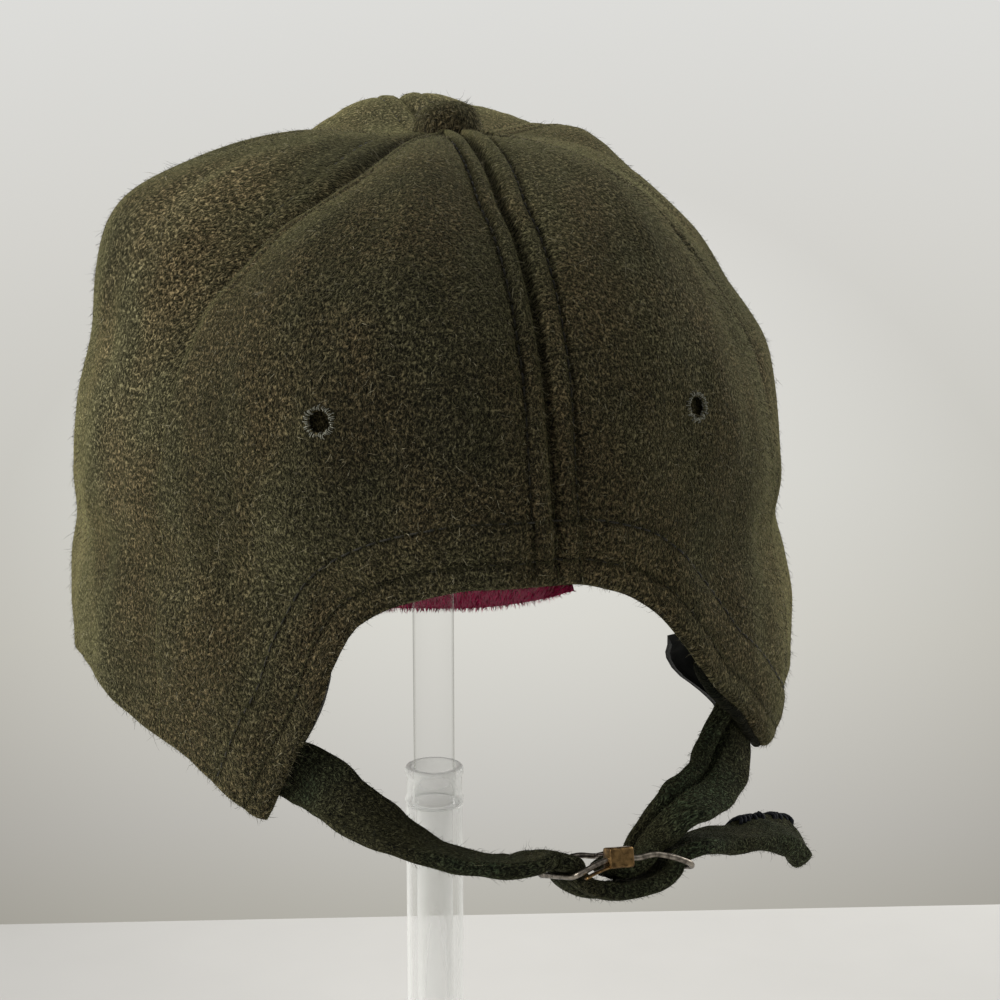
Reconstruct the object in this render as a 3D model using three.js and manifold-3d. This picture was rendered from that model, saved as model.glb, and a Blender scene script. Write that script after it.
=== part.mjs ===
import * as THREE from 'three';
import { mergeVertices } from 'three/addons/utils/BufferGeometryUtils.js';
import Module from 'manifold-3d';

const wasm = await Module();
wasm.setup();

// Driving sizes in millimetres, the stand's foot at the origin and the peak toward +Y
const CAP_LIFT = 190;
const CROWN_SHIFT = -1.8;
const TOP_SHIFT = 6.3;
const HALF_WIDTH = 86;
const HALF_LENGTH = 97;
const WIDEST_AT = 66;
const CROWN_TOP = 144;
const DOME_POWER = 2.35;
const WALL = 2.4;
const GAP = 0.3;
const PANEL_PUFF = 11.5;
const SEAM_DRAW = 0.3;
const BUTTON_RADIUS = 8.2;
const BUTTON_TALL = 7.5;
const DOME_ROWS = 11;
const WALL_STEPS = 7;
const EYELET_OUTER = 3.5;
const EYELET_HOLE = 1.9;
const BAND_TALL = 33;
const BAND_THICK = 1.4;
const PEAK_HALF_WIDTH = 62;
const PEAK_FRONT = 158;
const PEAK_BACK = 68;
const PEAK_ROOT_ANGLE = 44;
const PEAK_DROP = 24;
const PEAK_CAMBER = 0.8;
const PEAK_THICK = 3;
const LINING_THICK = 1.8;
const STRAP_THICK = 3.4;
const LOWEST = -10;
const WIRE_RADIUS = 0.75;
const BUCKLE_LONG = 29;
const BUCKLE_WIDE = 18;
const BUCKLE_BOW = 3.8;
const SLEEVE_AT = -4.3;
const SLEEVE_LONG = 5.6;
const SLEEVE_TALL = 4.4;
const BASE_SIDE = 140;
const BASE_TALL = 8;
const TUBE_RADIUS = 7.4;
const TUBE_BORE = 4.7;
const TUBE_TOP = 164;
const ROD_RADIUS = 5.25;
const COLLAR_BORE = 5.6;
const COLLAR_TALL = 9.6;
const COLLAR_RADIUS = 7.6;
const REST_RADIUS = 24;
const REST_TALL = 5;

// Panels from seam to seam, angles in degrees from the centre back, positive toward +X
const PANELS = [
  { node: 'panel_back_left', from: -57, to: 0, puff: 0.6, columns: 15 },
  { node: 'panel_back_right', from: 0, to: 54, puff: 0.55, columns: 14 },
  { node: 'panel_side_right', from: 54, to: 117, puff: 0.35, columns: 12 },
  { node: 'panel_front_right', from: 117, to: 180, puff: 0.5, columns: 11 },
  { node: 'panel_front_left', from: 180, to: 241, puff: 0.7, columns: 11 },
  { node: 'panel_side_left', from: 241, to: 303, puff: 1.05, columns: 12 },
];

// Side wall below the widest place: how far it stands out at each height
const WALL_ROWS = [
  { height: -10, out: 0.5 },
  { height: 8, out: 1.4 },
  { height: 20, out: 2.2 },
  { height: 32, out: 2.2 },
  { height: 43, out: 0.8 },
  { height: 54, out: -1.4 },
  { height: 66, out: 0 },
];

// Lower edge of the cap: the opening at the back, the two pointed corners and the rim
const EDGE_ROWS = [
  { name: 'front', left: 180, right: 180, height: 15 },
  { name: 'temple', left: 110, right: 110, height: 22.5 },
  { name: 'ear', left: 80, right: 78, height: 22.6 },
  { name: 'behind_ear', left: 64, right: 62, height: 16.6 },
  { name: 'nape_side', left: 53, right: 55, height: 12 },
  { name: 'corner_outer', left: 46, right: 53.2, height: 7.4 },
  { name: 'corner_tip', left: 38.6, right: 48, height: 1.9 },
  { name: 'corner_inner', left: 36.4, right: 43.4, height: 8 },
  { name: 'opening_low', left: 33.4, right: 37, height: 17 },
  { name: 'opening_side', left: 30, right: 28.5, height: 27 },
  { name: 'opening_bend', left: 28, right: 23.5, height: 37 },
  { name: 'opening_shoulder', left: 24.6, right: 18, height: 46 },
  { name: 'opening_top_side', left: 18, right: 12.5, height: 50.6 },
  { name: 'opening_top', left: 8, right: 5, height: 53 },
];
// The right corner ends a little higher than the left one
const RIGHT_CORNER_RISE = 2.4;

// How far the three back seams wander round the crown from their own angles, in degrees
const SEAM_SHIFTS = [
  { height: 52, left: 0, back: 3, right: 2 },
  { height: 75, left: 0, back: 2, right: 2 },
  { height: 95, left: 0, back: 1.5, right: 2 },
  { height: 108, left: 0, back: 0.8, right: 2 },
  { height: 117, left: 3, back: 0, right: 0 },
  { height: 125, left: 6, back: -1, right: -3 },
  { height: 132, left: 12, back: -2.6, right: -3 },
  { height: 138, left: 15, back: -2.6, right: -8 },
  { height: 143, left: 15, back: -2.6, right: -14 },
];
const SHIFTED_SEAMS = [
  { side: 'left', seam: -57 },
  { side: 'back', seam: 0 },
  { side: 'right', seam: 54 },
];
const SHIFT_REACH = 50;

// Soft dents and swells of the crown, along its normal
const FOLDS = [
  { name: 'dent_side_left', angle: -96, height: 93, depth: -5.5, wide: 18, tall: 10 },
  { name: 'tuck_side_left', angle: -100, height: 26, depth: -2.2, wide: 26, tall: 16 },
  { name: 'flare_side_right', angle: 62, height: 24, depth: 1.6, wide: 16, tall: 14 },
  { name: 'slack_side_right', angle: 74, height: 112, depth: -4.5, wide: 22, tall: 17 },
  { name: 'swell_front', angle: 177, height: 139, depth: 19.6, wide: 21.5, tall: 10 },
  { name: 'hollow_back_right', angle: 38, height: 108, depth: -2.5, wide: 12, tall: 16 },
  { name: 'swell_back_left', angle: -28, height: 112, depth: 1.5, wide: 16, tall: 18 },
  { name: 'shoulder_side_left', angle: -92, height: 120.5, depth: 3.1, wide: 20, tall: 5.7 },
  { name: 'flat_side_left', angle: -92, height: 101, depth: -1.8, wide: 18, tall: 6 },
  { name: 'waist_side_left', angle: -94, height: 76, depth: -1.8, wide: 18, tall: 8 },
  { name: 'shoulder_front_right', angle: 111, height: 142, depth: 11.5, wide: 17, tall: 5.5 },
  { name: 'flat_side_right', angle: 80, height: 131, depth: -1, wide: 10, tall: 5 },
  { name: 'full_side_right', angle: 70, height: 96, depth: 2.2, wide: 14, tall: 9 },
];

const OLIVE = 0x3a3529;
const OLIVE_STRAP = 0x2f3226;
const CRIMSON = 0x730526;
const BLACK = 0x0b0c0a;
const THREAD = 0x4a4940;
const NICKEL = 0x8a8680;
const BRASS = 0x735a2d;

function radians(degrees) {
  return (degrees * Math.PI) / 180;
}

// Smooth curve through the rows of a table, sorted by one column
function along(rows, key, value, x) {
  const n = rows.length;
  if (x <= rows[0][key]) return rows[0][value];
  if (x >= rows[n - 1][key]) return rows[n - 1][value];
  let i = 0;
  while (x > rows[i + 1][key]) i += 1;
  const span = rows[i + 1][key] - rows[i][key];
  const slope = (k) => {
    if (k <= 0 || k >= n - 1) return 0;
    const before = (rows[k][value] - rows[k - 1][value]) / (rows[k][key] - rows[k - 1][key]);
    const after = (rows[k + 1][value] - rows[k][value]) / (rows[k + 1][key] - rows[k][key]);
    return before * after <= 0 ? 0 : (2 * before * after) / (before + after);
  };
  const t = (x - rows[i][key]) / span;
  const h1 = t * t * (3 - 2 * t);
  const h2 = t * (1 - t) * (1 - t) * span;
  const h3 = -t * t * (1 - t) * span;
  return rows[i][value] * (1 - h1) + rows[i + 1][value] * h1 + slope(i) * h2 + slope(i + 1) * h3;
}

function signed(angle) {
  const turn = ((angle % 360) + 360) % 360;
  return turn > 180 ? turn - 360 : turn;
}

// Height of the cap's lower edge at an angle
function edgeHeight(angle) {
  const a = signed(angle);
  const side = a < 0 ? 'left' : 'right';
  const size = Math.abs(a);
  const tip = EDGE_ROWS.findIndex((row) => row.name === 'corner_tip');
  const opening = EDGE_ROWS.slice(tip).reverse();
  const rim = EDGE_ROWS.slice(0, tip + 1).reverse();
  const edge = along(size < EDGE_ROWS[tip][side] ? opening : rim, side, 'height', size);
  if (side === 'left') return edge;
  return edge + RIGHT_CORNER_RISE * Math.exp(-(((size - EDGE_ROWS[tip].right) / 4) ** 2));
}

// Angle of the opening's side at a height
function openingAngle(side, height) {
  const tip = EDGE_ROWS.findIndex((row) => row.name === 'corner_tip');
  return along(EDGE_ROWS.slice(tip), 'height', side, height);
}

function ellipse(angle, share, height, out) {
  const a = radians(angle);
  const x = HALF_WIDTH * share * Math.sin(a);
  const y = -HALF_LENGTH * share * Math.cos(a);
  const normal = new THREE.Vector2(x / HALF_WIDTH ** 2, y / HALF_LENGTH ** 2).normalize();
  const centre = CROWN_SHIFT + TOP_SHIFT * Math.max(0, (height - WIDEST_AT) / (CROWN_TOP - WIDEST_AT)) ** 1.7;
  return new THREE.Vector3(centre + x + normal.x * out, y + normal.y * out, height);
}

// The crown without its puff: t from 0 at the top to 1 at the widest place, then to 2 at the edge
function plainCrown(angle, t, low) {
  if (t <= 1) {
    const turn = radians(90 * Math.max(t, 0.0001));
    const share = Math.sin(turn) ** (2 / DOME_POWER);
    const height = WIDEST_AT + (CROWN_TOP - WIDEST_AT) * Math.cos(turn) ** (2 / DOME_POWER);
    return ellipse(angle, share, height, 0);
  }
  const height = WIDEST_AT + (low - WIDEST_AT) * (t - 1);
  return ellipse(angle, 1, height, along(WALL_ROWS, 'height', 'out', height));
}

function panelOf(angle) {
  const turn = ((angle + 57 + 720) % 360) - 57;
  return PANELS.find((panel) => turn >= panel.from - 0.001 && turn <= panel.to + 0.001);
}

function smooth(low, high, x) {
  const t = Math.min(1, Math.max(0, (x - low) / (high - low)));
  return t * t * (3 - 2 * t);
}

// How far the cloth has slid round the crown there, most at the three back seams
function seamShift(angle, height) {
  let total = 0;
  SHIFTED_SEAMS.forEach(({ side, seam }) => {
    const near = Math.max(0, 1 - (signed(angle - seam) / SHIFT_REACH) ** 2) ** 2;
    total += near * along(SEAM_SHIFTS, 'height', side, height);
  });
  return total;
}

// How far the cloth stands off the plain crown: puffed between seams, drawn in along them
function swell(angle, t, height) {
  const own = angle - seamShift(angle - seamShift(angle, height), height);
  const panel = panelOf(own);
  const turn = ((own + 57 + 720) % 360) - 57;
  const share = (turn - panel.from) / (panel.to - panel.from);
  const between = Math.max(0, Math.sin(Math.PI * share)) ** 0.85;
  const dome = t < 1 ? Math.sin(Math.PI * t ** 1.1) * smooth(0.03, 0.22, t) * PANEL_PUFF : 0;
  const size = dome + 1.2 * smooth(0.5, 1, t);
  let out = size * (panel.puff * between - SEAM_DRAW);
  FOLDS.forEach((fold) => {
    const across = signed(angle - fold.angle) / fold.wide;
    const up = (height - fold.height) / fold.tall;
    out += fold.depth * smooth(0.05, 0.3, t) * Math.exp(-(across * across + up * up) / 2);
  });
  return out;
}

// A point of the cloth, inset from its outer face
function crown(angle, t, inset, low = edgeHeight(angle)) {
  const here = plainCrown(angle, t, low);
  const step = 0.01;
  const lower = plainCrown(angle, t + step, low);
  const upper = plainCrown(angle, Math.max(t - step, 0.0001), low);
  const down = lower.sub(upper);
  const round = plainCrown(angle + 0.5, t, low).sub(plainCrown(angle - 0.5, t, low));
  const normal = round.cross(down).normalize();
  if (normal.dot(new THREE.Vector3(here.x, here.y, 40)) < 0) normal.negate();
  return here.addScaledVector(normal, swell(angle, t, here.z) - inset);
}

// A closed sheet between two grids of points, outer and inner
function sheet(columns, rows, place) {
  const points = [];
  const faces = [];
  const index = (side, i, j) => side * (columns + 1) * (rows + 1) + j * (columns + 1) + i;
  for (let side = 0; side < 2; side += 1) {
    for (let j = 0; j <= rows; j += 1) {
      for (let i = 0; i <= columns; i += 1) {
        const p = place(i / columns, j / rows, side);
        points.push(p.x, p.y, p.z);
      }
    }
  }
  const quad = (a, b, c, d) => faces.push(a, b, c, a, c, d);
  for (let j = 0; j < rows; j += 1) {
    for (let i = 0; i < columns; i += 1) {
      quad(index(0, i, j), index(0, i, j + 1), index(0, i + 1, j + 1), index(0, i + 1, j));
      quad(index(1, i, j), index(1, i + 1, j), index(1, i + 1, j + 1), index(1, i, j + 1));
    }
  }
  for (let i = 0; i < columns; i += 1) {
    quad(index(0, i, 0), index(0, i + 1, 0), index(1, i + 1, 0), index(1, i, 0));
    quad(index(0, i + 1, rows), index(0, i, rows), index(1, i, rows), index(1, i + 1, rows));
  }
  for (let j = 0; j < rows; j += 1) {
    quad(index(0, 0, j + 1), index(0, 0, j), index(1, 0, j), index(1, 0, j + 1));
    quad(index(0, columns, j), index(0, columns, j + 1), index(1, columns, j + 1), index(1, columns, j));
  }
  return facesOut(points, faces);
}

// Turns the faces outward and returns a geometry
function facesOut(points, faces) {
  let volume = 0;
  const at = (k) => new THREE.Vector3(points[3 * k], points[3 * k + 1], points[3 * k + 2]);
  for (let k = 0; k < faces.length; k += 3) {
    volume += at(faces[k]).dot(at(faces[k + 1]).cross(at(faces[k + 2])));
  }
  if (volume < 0) {
    for (let k = 0; k < faces.length; k += 3) {
      [faces[k + 1], faces[k + 2]] = [faces[k + 2], faces[k + 1]];
    }
  }
  const geometry = new THREE.BufferGeometry();
  geometry.setAttribute('position', new THREE.Float32BufferAttribute(points, 3));
  geometry.setIndex(faces);
  return geometry;
}

function solid(geometry) {
  const plain = geometry.clone();
  plain.deleteAttribute('normal');
  plain.deleteAttribute('uv');
  const merged = mergeVertices(plain, 0.0001);
  return new wasm.Manifold(
    new wasm.Mesh({
      numProp: 3,
      vertProperties: new Float32Array(merged.attributes.position.array),
      triVerts: new Uint32Array(merged.index.array),
    }),
  );
}

function surface(body) {
  const mesh = body.getMesh();
  const geometry = new THREE.BufferGeometry();
  geometry.setAttribute('position', new THREE.Float32BufferAttribute(mesh.vertProperties, 3));
  geometry.setIndex(Array.from(mesh.triVerts));
  return geometry;
}

// A solid swept through stations of centre, across and normal, its width set at each station
function sweep(stations, outline, ring) {
  const points = [];
  const faces = [];
  const n = outline.length;
  const count = stations.length;
  stations.forEach((station) => {
    const grow = station.wide ? (station.wide - 1) / 2 : 0;
    outline.forEach(([a, b]) => {
      const p = station.centre.clone().addScaledVector(station.across, a + Math.sign(a) * grow);
      p.addScaledVector(station.normal, b);
      points.push(p.x, p.y, p.z);
    });
  });
  for (let k = 0; k < (ring ? count : count - 1); k += 1) {
    for (let i = 0; i < n; i += 1) {
      const a = k * n + i;
      const b = k * n + ((i + 1) % n);
      const c = ((k + 1) % count) * n + ((i + 1) % n);
      const d = ((k + 1) % count) * n + i;
      faces.push(a, b, c, a, c, d);
    }
  }
  const last = (count - 1) * n;
  for (let i = 1; i < n - 1 && !ring; i += 1) {
    faces.push(0, i + 1, i);
    faces.push(last, last + i, last + i + 1);
  }
  return facesOut(points, faces);
}

function roundedStrip(wide, thick) {
  const w = wide / 2;
  const h = thick / 2;
  const r = Math.min(0.45, h * 0.7);
  return [
    [-w, -h + r],
    [-w + r, -h],
    [w - r, -h],
    [w, -h + r],
    [w, h - r],
    [w - r, h],
    [-w + r, h],
    [-w, h - r],
  ];
}

const cap = new THREE.Group();
cap.name = 'wool_cap_on_stand';

function add(node, geometry, colour, roughness, metalness, lift = CAP_LIFT) {
  const placed = geometry.clone();
  placed.translate(0, 0, lift);
  placed.computeVertexNormals();
  const look = new THREE.MeshStandardMaterial({ color: colour, roughness, metalness });
  const mesh = new THREE.Mesh(placed, look);
  mesh.name = node;
  cap.add(mesh);
}

// Crown panels, the two at the back cut by the opening and pierced by an eyelet each
const EYELETS = [
  { node: 'eyelet_left', panel: 'panel_back_left', angle: -29.8, height: 86.8 },
  { node: 'eyelet_right', panel: 'panel_back_right', angle: 26.1, height: 87.4 },
];

function crownShare(height) {
  const up = (height - WIDEST_AT) / (CROWN_TOP - WIDEST_AT);
  const turn = Math.acos(up ** (DOME_POWER / 2));
  return turn / radians(90);
}

function eyeletFrame(eyelet) {
  const t = crownShare(eyelet.height);
  const here = crown(eyelet.angle, t, 0);
  const round = crown(eyelet.angle + 2.5, t, 0).sub(crown(eyelet.angle - 2.5, t, 0));
  const down = crown(eyelet.angle, t + 0.05, 0).sub(crown(eyelet.angle, t - 0.05, 0));
  const normal = round.clone().cross(down).normalize();
  if (normal.y > 0) normal.negate();
  const turn = new THREE.Quaternion().setFromUnitVectors(new THREE.Vector3(0, 1, 0), normal);
  return { here, normal, turn };
}

// Angles of a panel's columns, with one column on the corner's tip where the panel has one
function panelColumns(panel) {
  const inner = Array.from({ length: panel.columns + 1 }, (_, i) => i / panel.columns);
  const angles = inner.map((share) => panel.from + share * (panel.to - panel.from));
  const tip = EDGE_ROWS.find((row) => row.name === 'corner_tip');
  [-tip.left, tip.right].forEach((place) => {
    const corner = place - seamShift(place, tip.height);
    if (corner <= panel.from || corner >= panel.to) return;
    const gaps = angles.map((angle) => Math.abs(angle - corner));
    angles[gaps.indexOf(Math.min(...gaps))] = corner;
  });
  return angles;
}

PANELS.forEach((panel) => {
  const angles = panelColumns(panel);
  const rows = DOME_ROWS + WALL_STEPS;
  const geometry = sheet(panel.columns, rows, (u, v, side) => {
    const i = Math.round(u * panel.columns);
    const j = Math.round(v * rows);
    const t = j <= DOME_ROWS ? 0.03 + 0.97 * (j / DOME_ROWS) ** 0.9 : 1 + (j - DOME_ROWS) / WALL_STEPS;
    const share = Math.sin(radians(90 * Math.min(t, 1))) ** (2 / DOME_POWER);
    const halfGap = (GAP / 2 / (HALF_WIDTH * share)) * (180 / Math.PI);
    const height = plainCrown(angles[i], t, edgeHeight(angles[i])).z;
    let angle = angles[i] + seamShift(angles[i], height);
    if (i === 0) angle += halfGap;
    if (i === panel.columns) angle -= halfGap;
    return crown(angle, t, side === 0 ? 0 : WALL);
  });
  const pierced = EYELETS.find((eyelet) => eyelet.panel === panel.node);
  if (pierced) {
    const frame = eyeletFrame(pierced);
    const drill = new THREE.CylinderGeometry(EYELET_HOLE + 0.3, EYELET_HOLE + 0.3, 20, 16);
    drill.applyQuaternion(frame.turn);
    drill.translate(frame.here.x, frame.here.y, frame.here.z);
    add(panel.node, surface(solid(geometry).subtract(solid(drill))), OLIVE, 0.95, 0);
  } else {
    add(panel.node, geometry, OLIVE, 0.95, 0);
  }
});

// Sewn rings round the eyelet holes
EYELETS.forEach((eyelet) => {
  const frame = eyeletFrame(eyelet);
  const ring = new THREE.LatheGeometry(
    [
      new THREE.Vector2(EYELET_HOLE, 0),
      new THREE.Vector2(EYELET_OUTER, 0),
      new THREE.Vector2(EYELET_OUTER - 0.3, 0.8),
      new THREE.Vector2(EYELET_OUTER - 0.9, 1.1),
      new THREE.Vector2(EYELET_HOLE + 0.2, 0.8),
      new THREE.Vector2(EYELET_HOLE, 0),
    ],
    16,
  );
  ring.applyQuaternion(frame.turn);
  const seat = frame.here.clone().addScaledVector(frame.normal, GAP + 0.25);
  ring.translate(seat.x, seat.y, seat.z);
  add(eyelet.node, surface(solid(ring)), THREAD, 0.8, 0);
});

// Covered button on the crown's top, seated on the highest cloth under it
function crownHeights(x, radius, inset) {
  const heights = [];
  for (let angle = 0; angle < 360; angle += 5) {
    for (let t = 0.03; t < 0.5; t += 0.01) {
      const p = crown(angle, t, inset);
      if (Math.hypot(p.x - x, p.y) <= radius) heights.push(p.z);
    }
  }
  return heights;
}

const buttonFoot = Math.max(...crownHeights(CROWN_SHIFT + TOP_SHIFT, BUTTON_RADIUS, 0)) + GAP;
const buttonProfile = [new THREE.Vector2(0, 0), new THREE.Vector2(BUTTON_RADIUS - 0.7, 0)];
for (let k = 0; k <= 6; k += 1) {
  const turn = radians(15 * k);
  const r = k === 6 ? 0 : BUTTON_RADIUS * Math.cos(turn) ** 0.7;
  buttonProfile.push(new THREE.Vector2(r, 1 + (BUTTON_TALL - 1) * Math.sin(turn)));
}
const button = new THREE.LatheGeometry(buttonProfile, 20);
button.rotateX(Math.PI / 2);
button.translate(CROWN_SHIFT + TOP_SHIFT, 0, buttonFoot);
add('button', surface(solid(button)), OLIVE, 0.95, 0);

// A point beside the wall below the widest place, a distance out from its outer face
function besideWall(angle, height, out) {
  const t = 1 + (WIDEST_AT - height) / (WIDEST_AT - LOWEST);
  return crown(angle, t, -out, LOWEST);
}

// Sweatband inside the edge, bowed inward past the two strap ends
function bandPoint(u, v, side) {
  const cornerFoot = edgeHeight(46);
  const rise = 1 + v * BAND_TALL;
  const cornerRise = cornerFoot + rise;
  const left = -openingAngle('left', cornerRise) - 1.5;
  const right = openingAngle('right', cornerRise) + 1.5 - 1.8 * smooth(22, 30, cornerRise);
  const angle = left - u * (360 - (right - left));
  const size = Math.abs(signed(angle));
  const height = (size > 46 ? edgeHeight(angle) : cornerFoot) + rise;
  const strapRoom = 5.6 * (1 - smooth(49, 60, size)) * (1 - smooth(32, 40, height));
  return besideWall(angle, height, -(WALL + GAP + 0.15 + strapRoom + side * BAND_THICK));
}
add('sweatband', sheet(42, 5, bandPoint), BLACK, 0.7, 0);

// Peak with its plush underside
function peakPoint(u, v, drop) {
  const across = 2 * u - 1;
  const rootAngle = 180 - across * PEAK_ROOT_ANGLE;
  const root = ellipse(rootAngle, 1, 0, v === 0 ? -WALL : 0.8);
  const turn = radians(90 * across);
  const edge = new THREE.Vector3(
    CROWN_SHIFT + PEAK_HALF_WIDTH * Math.sign(turn) * Math.abs(Math.sin(turn)) ** (2 / 2.4),
    PEAK_BACK + (PEAK_FRONT - PEAK_BACK) * Math.cos(turn) ** (2 / 2.9),
    0,
  );
  const p = root.clone().lerp(edge, v);
  const reach = Math.max(0, p.y - root.y);
  const full = PEAK_FRONT - HALF_LENGTH;
  const rootHeight = edgeHeight(rootAngle) - GAP - 0.2;
  const side = (p.x - CROWN_SHIFT) / PEAK_HALF_WIDTH;
  p.z = rootHeight - (PEAK_DROP * reach) / full - PEAK_CAMBER * side * side * v - drop;
  return p;
}
const peakSheet = (top, bottom) => sheet(20, 6, (u, v, side) => peakPoint(u, v, side === 0 ? top : bottom));
add('peak', peakSheet(0, PEAK_THICK), OLIVE, 0.95, 0);
const liningTop = PEAK_THICK + GAP;
add('peak_lining', peakSheet(liningTop, liningTop + LINING_THICK), CRIMSON, 0.9, 0);

// Buckle: a bowed wire frame with a centre bar, lying flat in the bottom of the strap's slack
const BUCKLE_CENTRE = new THREE.Vector3(17.3, -91.4, -11.4);
const BUCKLE_ALONG = new THREE.Vector3(29.3, 5, -2.7).normalize();
const BUCKLE_ACROSS = new THREE.Vector3(0, 0.95, -0.32);
BUCKLE_ACROSS.addScaledVector(BUCKLE_ALONG, -BUCKLE_ACROSS.dot(BUCKLE_ALONG)).normalize();
const BUCKLE_NORMAL = BUCKLE_ALONG.clone().cross(BUCKLE_ACROSS).normalize();

// A point on the buckle: along it, across it and out along its normal
function onBuckle(a, b, c) {
  const p = BUCKLE_CENTRE.clone().addScaledVector(BUCKLE_ALONG, a);
  return p.addScaledVector(BUCKLE_ACROSS, b).addScaledVector(BUCKLE_NORMAL, c);
}

// The rails bow up between the end bars and dip a little at the centre bar
function bow(a) {
  const bulge = BUCKLE_BOW * Math.cos((Math.PI * a) / BUCKLE_LONG) ** 0.8;
  return bulge - 0.9 * Math.exp(-((a / 3.2) ** 2));
}

function wireFrame(radius) {
  const half = BUCKLE_LONG / 2;
  const side = BUCKLE_WIDE / 2;
  const corner = 2.4;
  const steps = 10;
  const rail = [];
  for (let k = 0; k <= steps; k += 1) rail.push(-half + corner + (k / steps) * (BUCKLE_LONG - 2 * corner));
  const flat = [
    ...rail.map((a) => [a, -side]),
    [half - corner * 0.3, -side + corner * 0.3],
    [half, -side + corner],
    [half, side - corner],
    [half - corner * 0.3, side - corner * 0.3],
    ...rail.reverse().map((a) => [a, side]),
    [-half + corner * 0.3, side - corner * 0.3],
    [-half, side - corner],
    [-half, -side + corner],
    [-half + corner * 0.3, -side + corner * 0.3],
  ];
  const centres = flat.map(([a, b]) => onBuckle(a, b, bow(a)));
  const n = centres.length;
  const stations = centres.map((centre, k) => {
    const run = centres[(k + 1) % n].clone().sub(centres[(k + n - 1) % n]).normalize();
    const across = run.clone().cross(BUCKLE_NORMAL).normalize();
    return { centre, across, normal: across.clone().cross(run).normalize() };
  });
  return sweep(stations, circle(6, radius), true);
}

function circle(count, radius) {
  return Array.from({ length: count }, (_, i) => {
    const turn = (2 * Math.PI * i) / count;
    return [radius * Math.cos(turn), radius * Math.sin(turn)];
  });
}

// A straight round bar across the buckle
function crossBar(a, c, radius, half, sides) {
  const ends = [-half, half].map((b) => ({
    centre: onBuckle(a, b, c),
    across: BUCKLE_ALONG.clone(),
    normal: BUCKLE_NORMAL.clone(),
  }));
  return sweep(ends, circle(sides, radius), false);
}

const centreBar = solid(crossBar(0, bow(0), WIRE_RADIUS, BUCKLE_WIDE / 2, 8));
add('buckle_frame', surface(solid(wireFrame(WIRE_RADIUS)).add(centreBar)), NICKEL, 0.35, 1);

// Crimped sleeve that closes the wire on the near rail
const sleeveEnds = [-1, 1].map((way) => onBuckle(SLEEVE_AT + (way * SLEEVE_LONG) / 2, -BUCKLE_WIDE / 2, 0));
sleeveEnds.forEach((p) => p.addScaledVector(BUCKLE_NORMAL, bow(SLEEVE_AT)));
const sleeveStations = sleeveEnds.map((centre) => ({ centre, across: BUCKLE_ACROSS, normal: BUCKLE_NORMAL }));
const sleeveBlock = solid(sweep(sleeveStations, roundedStrip(2.9, SLEEVE_TALL), false));
const sleeveBore = solid(wireFrame(WIRE_RADIUS + GAP + 0.05));
add('buckle_sleeve', surface(sleeveBlock.subtract(sleeveBore)), BRASS, 0.4, 1);

// Straps: angle and distance out from the wall's face, height, lean of the width, width
const ROOT_INSET = -(WALL + GAP + 0.4 + STRAP_THICK / 2);
const STRAP_LEFT = [
  { name: 'sewn_end', angle: -45.5, out: ROOT_INSET, height: 14, lean: 0, wide: 12.5 },
  { name: 'behind_hem', angle: -40, out: ROOT_INSET, height: 13.4, lean: 0, wide: 13.5 },
  { name: 'at_hem', angle: -35, out: ROOT_INSET - 0.3, height: 12.2, lean: 4, wide: 13 },
  { name: 'clear_of_hem', angle: -30.2, out: -4, height: 10.2, lean: 20, wide: 12.5 },
  { name: 'falling', angle: -25.5, out: -1, height: 7, lean: 50, wide: 12.5 },
  { name: 'turning', angle: -19.5, out: 0, height: 2.4, lean: 78, wide: 12.5 },
  { name: 'flat', angle: -13.5, out: 0, height: -2.2, lean: 96, wide: 13 },
  { name: 'bottom', angle: -7, out: 0, height: -4.8, lean: 101, wide: 13 },
  { name: 'before_buckle', angle: -2.6, out: -0.8, height: -5.6, lean: 103, wide: 13.5 },
];
const STRAP_RIGHT = [
  { name: 'sewn_end', angle: 45.5, out: ROOT_INSET - 0.6, height: 23.5, lean: 0, wide: 13.5 },
  { name: 'behind_hem', angle: 42.8, out: ROOT_INSET - 0.8, height: 18, lean: 0, wide: 14 },
  { name: 'at_hem', angle: 40, out: ROOT_INSET - 0.9, height: 12, lean: 6, wide: 14.5 },
  { name: 'clear_of_hem', angle: 36.6, out: -4.2, height: 6, lean: 34, wide: 14.5 },
  { name: 'falling', angle: 30.8, out: -2, height: 2.4, lean: 56, wide: 13.6 },
  { name: 'turning', angle: 23.4, out: -1.2, height: 0.6, lean: 76, wide: 12.4 },
];
const TAIL = [
  { name: 'past_buckle', angle: 32, out: -1.2, height: -11.2, lean: 92, wide: 13.5 },
  { name: 'rising', angle: 38, out: 1.6, height: -12.4, lean: 90, wide: 13 },
  { name: 'tail', angle: 44.4, out: 5, height: -15, lean: 72, wide: 13 },
  { name: 'tail_end', angle: 50.4, out: 8, height: -20.4, lean: 34, wide: 13.5 },
];

// The left strap goes over the near end bar, slack under the centre bar and over the far end bar
const OVER_BAR = WIRE_RADIUS + STRAP_THICK / 2 + 0.4;
const END_BAR = BUCKLE_LONG / 2;
const NEAR_HALF = [
  { a: -END_BAR - 4, c: OVER_BAR + 1.1 },
  { a: -END_BAR, c: OVER_BAR },
  { a: -END_BAR + 0.72 * OVER_BAR, c: 0.72 * OVER_BAR },
  { a: -END_BAR + OVER_BAR + 0.2, c: -0.4 },
  { a: -8.4, c: -2.6 },
  { a: -4.4, c: -3.7 },
];
const THREADED = [
  ...NEAR_HALF,
  { a: 0, c: -4 },
  ...NEAR_HALF.map((row) => ({ a: -row.a, c: row.c })).reverse(),
];

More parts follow.
